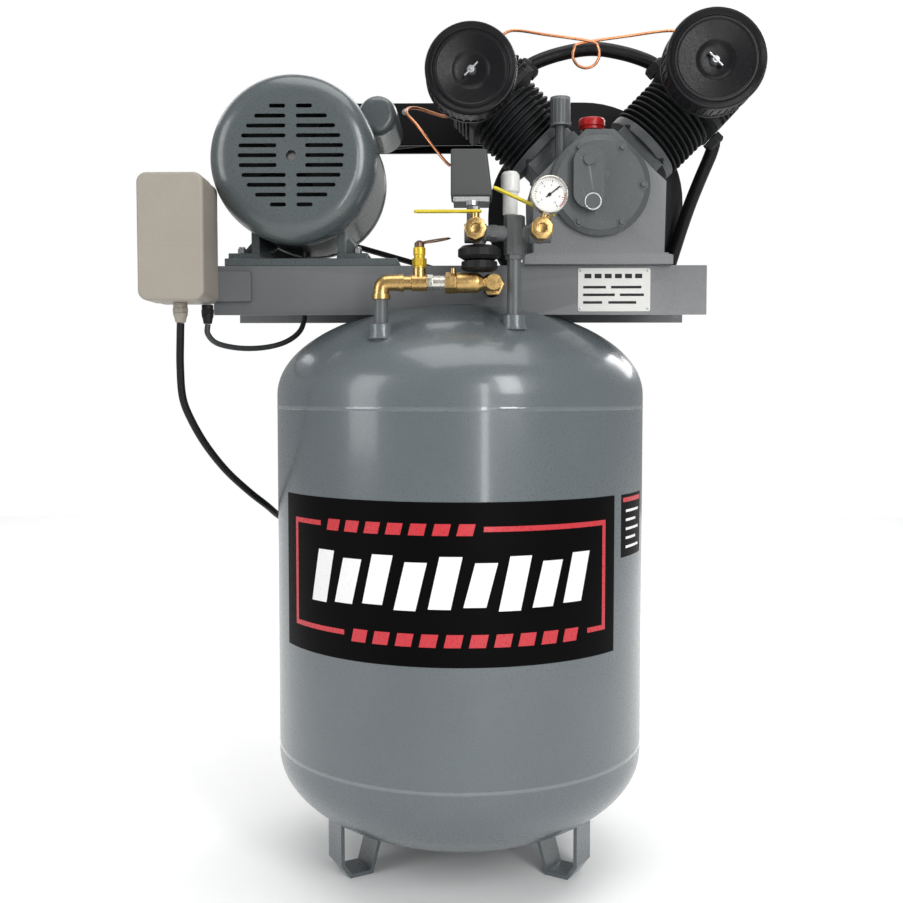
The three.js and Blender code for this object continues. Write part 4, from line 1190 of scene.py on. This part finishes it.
def outlet_group():
    low = head_height(math.hypot(RISER_X, RISER_Y)) + 2
    here = shift(RISER_X, RISER_Y, 0)
    nipple = Piece("riser_nipple").bar(10.5, low, 979, here, 40)
    nipple.done("platform", bevel=0.4)
    riser = Piece("riser").lathe(
        [(0, 985), (15.5, 985), (16, 987), (16, 1041), (14, 1043), (0, 1043)], here, 8
    )
    riser.lathe([(0, 978), (14, 978), (14, 988), (0, 988)], here, 6)
    run = shift(0, RISER_Y, VALVE_Z) @ TO_RIGHT
    riser.bar(11.5, LEFT_VALVE_X - 16, RIGHT_VALVE_X + 16, run, 40)
    for x in (LEFT_VALVE_X, RIGHT_VALVE_X):
        riser.lathe(
            [
                (0, x - 16.5), (13.5, x - 16.5), (14.5, x - 15), (14.5, x + 15), (13.5, x + 16.5),
                (0, x + 16.5),
            ],
            run,
            32,
        )
        riser.lathe(
            [(0, -14), (13, -14), (14, -12), (14, 12), (13, 13.8), (0, 13.8)],
            shift(x, RISER_Y, VALVE_Z) @ TO_BACK,
            32,
        )
    riser.hex(13, 46, 58, run)
    riser.hex(13, 98, 106, run)
    riser.bar(8, VALVE_Z, 1060, shift(20, -190), 32)
    riser.bar(6, -190, VENT_Y, shift(VENT_X, 0, 1034) @ TO_BACK, 24)
    riser.bar(6, 1028, 1053, shift(VENT_X, VENT_Y), 24)
    riser.hex(9, 1043, 1052, shift(VENT_X, VENT_Y))
    riser.bar(9, 1000, VALVE_Z, shift(31, RISER_Y), 32)
    riser.done("casting", replaces="outlet_manifold", bevel=0.6)

    for name, x, roll in (("left", LEFT_VALVE_X, 0), ("right", RIGHT_VALVE_X, RIGHT_ROLL)):
        place = shift(x, 0, VALVE_Z) @ spun(roll)
        back, stem = place @ TO_BACK, place @ shift(0, -232, 0)
        body = Piece("outlet_valve_" + name)
        body.lathe(
            [(7.5, -262), (14, -262), (16.5, -260.6), (16.5, -250.6), (14, -249), (7.5, -249), (7.5, -262)],
            back,
            8,
        )
        body.lathe(
            [(0, -243), (13.4, -249.4), (15.8, -241), (16, -229), (13.4, -223), (13, -218.4), (0, -218.4)],
            back,
            48,
        )
        body.bar(5.8, 11, 26, stem, 32)
        body.hex(8, 13, 19, stem)
        if roll:
            body.bar(4.8, 13, 20, shift(x, 0, VALVE_Z) @ spun(GAUGE_LEAN) @ shift(0, -255, 0), 24)
        body.done("brass", replaces="ball_valve_" + name, bevel=0.4)
        lever = Piece("lever_" + name)
        outline = [(9 * math.cos(a), 9 * math.sin(a)) for a in [(-1 + k / 8) * 0.9 for k in range(17)]]
        outline += [(-18, 6.3), (-30, 5.2), (-40, 6.3), (-84, 6.5)]
        outline += [
            (-84 - 6.2 * math.sin(a), 6.4 * math.cos(a)) for a in [k / 8 * math.pi for k in range(1, 8)]
        ]
        outline += [(-84, -6.5), (-40, -6.3), (-30, -5.2), (-18, -6.3)]
        lever.slab(outline, 26.4, 30.2, stem)
        lever.done("lever", "lever_" + name, "valve_lever_" + name, bevel=1.1, segments=3)
        nut = Piece("lever_nut_" + name)
        nut.hex(6.6, 30, 35.2, stem)
        nut.done("zinc", "lever_" + name, bevel=0.3)


def gauge():
    place = shift(RIGHT_VALVE_X, 0, VALVE_Z) @ spun(GAUGE_LEAN)
    centre = place @ shift(0, -243, 48)
    case = Piece("gauge_body").lathe(
        [
            (0, 0), (23, 0), (26, 1), (27, 3.5), (27, 22.5), (26.2, 24.4), (25, 25), (24.6, 24), (24.5, 18),
            (0, 18),
        ],
        centre @ TO_FRONT,
        72,
    )
    case.bar(4.9, 20.3, 25, place @ shift(0, -255, 0), 24)
    case.hex(6.6, 20.3, 23, place @ shift(0, -255, 0))
    case.done("nickel", replaces="gauge_case", bevel=0.3)
    face = Piece("gauge_dial").bar(24.3, 17.8, 18.15, centre @ TO_FRONT, 64)
    face.done("white", bevel=0)
    marks = Piece("gauge_marks")
    for k in range(31):
        a = math.radians(-135 + 9 * k)
        inner = 17.6 if k % 5 == 0 else 19.6
        half = 0.42 if k % 5 == 0 else 0.22
        marks.block(-half, half, -18.35, -18.1, inner, 21.4, centre @ spun(a))
    marks.done("plastic", bevel=0)
    for k in range(7):
        a = math.radians(-135 + 45 * k)
        words = bpy.data.curves.new(f"gauge_number_{k}", "FONT")
        words.body = str(k * 2)
        words.size = 4.2 * MM
        words.align_x = words.align_y = "CENTER"
        words.extrude = 0.08 * MM
        mark = bpy.data.objects.new(f"gauge_number_{k}", words)
        bpy.context.scene.collection.objects.link(mark)
        at = centre @ Vector((13.6 * math.sin(a), -18.25, 13.6 * math.cos(a)))
        mark.matrix_world = Matrix.Translation(metres(at)) @ spun(GAUGE_LEAN) @ Matrix.Rotation(
            math.pi / 2, 4, "X"
        )
        words.materials.append(M["plastic"])
        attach(mark, "frame")
    band = Piece("gauge_band")
    for k in range(18):
        a = math.radians(75 + 3 * k)
        band.block(-0.62, 0.62, -18.3, -18.1, 21.6, 23, centre @ spun(a))
    band.done("print_red", bevel=0)
    keep("gauge_needle", "plastic", 0)


def small_parts():
    for node, material, width in (
        ("regulator_body", "plastic", 1),
        ("regulator_knob", "plastic", 1),
        ("pressure_switch_base", "zinc", 0.8),
        ("safety_valve_pull", "bronze", 0.3),
    ):
        keep(node, material, width)
    grips = Piece("regulator_grips")
    for i in range(24):
        grips.block(26, 26.9, -1.3, 1.3, 965, 974, shift(31, RISER_Y) @ spun(i * math.pi / 12, "Z"))
    grips.done("plastic", "knob", bevel=0.2)
    muffler = Piece("muffler").lathe(
        [
            (0, 1053.3), (10, 1053.3), (11.4, 1054.5), (11.4, 1087), (14, 1089), (14.5, 1091), (14.5, 1113),
            (13, 1117), (10, 1120), (0, 1120),
        ],
        shift(VENT_X, VENT_Y),
        48,
    )
    for i in range(16):
        muffler.block(13, 14.4, -1, 1, 1092, 1111, shift(VENT_X, VENT_Y) @ spun(i * math.pi / 8, "Z"))
    muffler.done("white", replaces="vent_muffler", bevel=0.4)
    cover = Piece("switch_cover").prism([(-12, 1073.3), (51, 1073.3), (42, 1144), (-12, 1144)], -198, -134)
    cover.done("switch", replaces="pressure_switch_cover", bevel=4, segments=4)
    screw = Piece("switch_screw").lathe([(0, 0), (4, 0), (3.6, 1.6), (0, 2)], shift(18, -165, 1142.8), 20)
    screw.done("zinc", bevel=0)
    here = shift(-58, CHECK_Y)
    base = CHECK_Z + 22.3
    valve = Piece("relief_valve").lathe(
        [(0, base), (8, base), (8, base + 3), (0, base + 3)], here, 32
    )
    valve.lathe(
        [(0, base + 3), (10.4, base + 3), (11, base + 4), (11, base + 13), (10, base + 14), (0, base + 14)],
        here,
        6,
    )
    valve.lathe(
        [
            (0, base + 13), (8, base + 14), (8, base + 18), (9, base + 19), (9, base + 29), (8, base + 30),
            (0, base + 30),
        ],
        here,
        32,
    )
    valve.done("gold", replaces="safety_valve_body", bevel=0.4)


def check_line():
    low = head_height(math.hypot(CHECK_X, CHECK_Y)) + 2
    along = shift(CHECK_X, CHECK_Y, CHECK_Z) @ TO_RIGHT
    nipple = Piece("check_nipple").bar(10.4, low, CHECK_Z - 22, shift(CHECK_X, CHECK_Y), 40)
    nipple.done("platform", bevel=0.4)
    bend = [(0, -24), (0, -12), (3, -3), (12, 0), (34, 0)]
    bend = smooth_path([(CHECK_X + a, CHECK_Y, CHECK_Z + b) for a, b in bend], 6)
    elbow = Piece("check_elbow").tube(bend, 12, 32)
    elbow.bar(13.9, CHECK_Z - 24, CHECK_Z - 17, shift(CHECK_X, CHECK_Y), 40)
    elbow.bar(13, 27, 34, along, 40)
    elbow.lathe([(0, 34), (10.4, 34), (10.4, 45), (12.4, 46), (12.4, 68), (10.4, 69), (0, 69)], along, 40)
    elbow.bar(9.8, CHECK_Z, CHECK_Z + 21.8, shift(-58, CHECK_Y), 40)
    elbow.done("brass", replaces="check_valve_line", bevel=0.5)
    union = Piece("check_union")
    union.hex(12.4, 68, 78, along)
    union.bar(10.4, 77, 95, along, 40)
    union.done("nickel", bevel=0.4)
    barrel = Piece("check_barrel")
    barrel.hex(16, 95, 112, along)
    barrel.lathe(
        [(0, 112), (14.2, 112), (15, 114), (15, 141), (13, 146), (9, 152), (9, 154), (0, 154)], along, 48
    )
    barrel.hex(12, 154, 176, along)
    barrel.bar(3.9, CHECK_Z, CHECK_Z + 21.5, shift(-8, CHECK_Y), 24)
    barrel.bar(11.8, -14, 21.8, shift(52, CHECK_Y, CHECK_Z) @ TO_BACK, 40)
    barrel.done("brass", bevel=0.4)


outlet_group()
gauge()
small_parts()
check_line()


# Starter box ------------------------------------------------------------------------------------------------


def starter_box():
    x0, x1, z0, z1 = -479.4, -379.5, 918, 1108
    cover = Piece("starter_lid").prism(rounded(x0, x1, z0, z1, 15, 8), -214.9, -152)
    cover.done("beige", replaces="starter_cover", bevel=5, segments=5)
    groove = Piece("starter_step").prism(rounded(x0 + 9, x1 - 9, 1001, 1003.2, 1, 2), -215, -213)
    groove.done("beige", bevel=0.3)
    tray = Piece("starter_tray").prism(rounded(x0 + 1.5, x1 - 1.5, z0 + 1.5, z1 - 1.5, 13.5, 8), -151.7, -112)
    bracket = Piece("starter_bracket").block(-470, -330, -112.6, -102.3, 925, 972)
    bracket.done("platform", bevel=1)
    tray.done("beige", replaces="starter_base", bevel=2, segments=3)
    screws = Piece("starter_screws")
    for x, z in ((x0 + 14, z0 + 14), (x1 - 14, z1 - 14)):
        screws.lathe([(0, 0), (3.6, 0), (3.2, 1.3), (0, 0.8)], shift(x, -213.6, z) @ TO_FRONT, 24)
    screws.done("zinc", bevel=0)
    for name, (x, y), r, material in (
        ("power", POWER_EXIT, 12, "beige"), ("motor", MOTOR_EXIT, 10, "plastic")
    ):
        gland = Piece(name + "_strain_relief").lathe(
            [
                (0, 888), (r * 0.6, 888), (r * 0.66, 889), (r * 0.78, 896), (r * 0.92, 900), (r * 0.92, 903),
                (0, 903),
            ],
            shift(x, y),
            40,
        )
        gland.hex(r, 903, 911, shift(x, y))
        gland.lathe([(0, 911), (r * 0.9, 911), (r * 0.9, 917.6), (0, 917.6)], shift(x, y), 40)
        gland.done(material, replaces=name + "_gland", bevel=0.4)


starter_box()


# Floor and light --------------------------------------------------------------------------------------------

floor_mesh = bpy.data.meshes.new("floor")
floor_mesh.from_pydata(
    [(-9, -6, -0.0005), (9, -6, -0.0005), (9, 5, -0.0005), (-9, 5, -0.0005)], [], [(0, 1, 2, 3)]
)
floor = bpy.data.objects.new("floor", floor_mesh)
bpy.context.scene.collection.objects.link(floor)
floor_mesh.materials.append(surface("floor_paint", (0.95, 0.95, 0.95), 0.7, tint=0.01, bump=0.01))

# The backdrop is white to the camera and dimmer to the surfaces that reflect it.
world = bpy.data.worlds.new("studio")
bpy.context.scene.world = world
world.use_nodes = True
sky = world.node_tree
ray = sky.nodes.new("ShaderNodeLightPath")
level = sky.nodes.new("ShaderNodeMapRange")
level.inputs["To Min"].default_value = 0.36
level.inputs["To Max"].default_value = 1.0
sky.links.new(ray.outputs["Is Camera Ray"], level.inputs["Value"])
sky.links.new(level.outputs["Result"], sky.nodes["Background"].inputs["Strength"])
sky.nodes["Background"].inputs["Color"].default_value = (1, 1, 1, 1)
bpy.context.scene.view_settings.view_transform = "Standard"


def light(name, at, target, width, height, power):
    lamp = bpy.data.lights.new(name, "AREA")
    lamp.shape = "RECTANGLE"
    lamp.size, lamp.size_y, lamp.energy = width, height, power
    made = bpy.data.objects.new(name, lamp)
    bpy.context.scene.collection.objects.link(made)
    made.location = at
    made.rotation_mode = "QUATERNION"
    made.rotation_quaternion = (Vector(target) - Vector(at)).to_track_quat("-Z", "Y")


light("key_right", (1.5, -2.6, 1.9), (0, 0, 0.7), 0.7, 1.8, 44)
light("strip_front", (0.62, -2.4, 1.0), (0.05, 0, 0.75), 0.16, 1.5, 9)
light("fill_left", (-2.4, -1.6, 1.6), (0, 0, 0.7), 1.0, 2.0, 26)
light("top", (0.2, -0.6, 3.4), (0, 0, 0.9), 2.4, 1.8, 40)
light("rim_back", (1.8, 2.2, 2.2), (0, 0, 0.9), 1.2, 1.6, 26)
# The wash's target is a hair off the plumb line, so that its direction is defined.
light("floor_wash", (0, 4.6, 4.4), (0, 4.601, 0), 11, 5, 300)
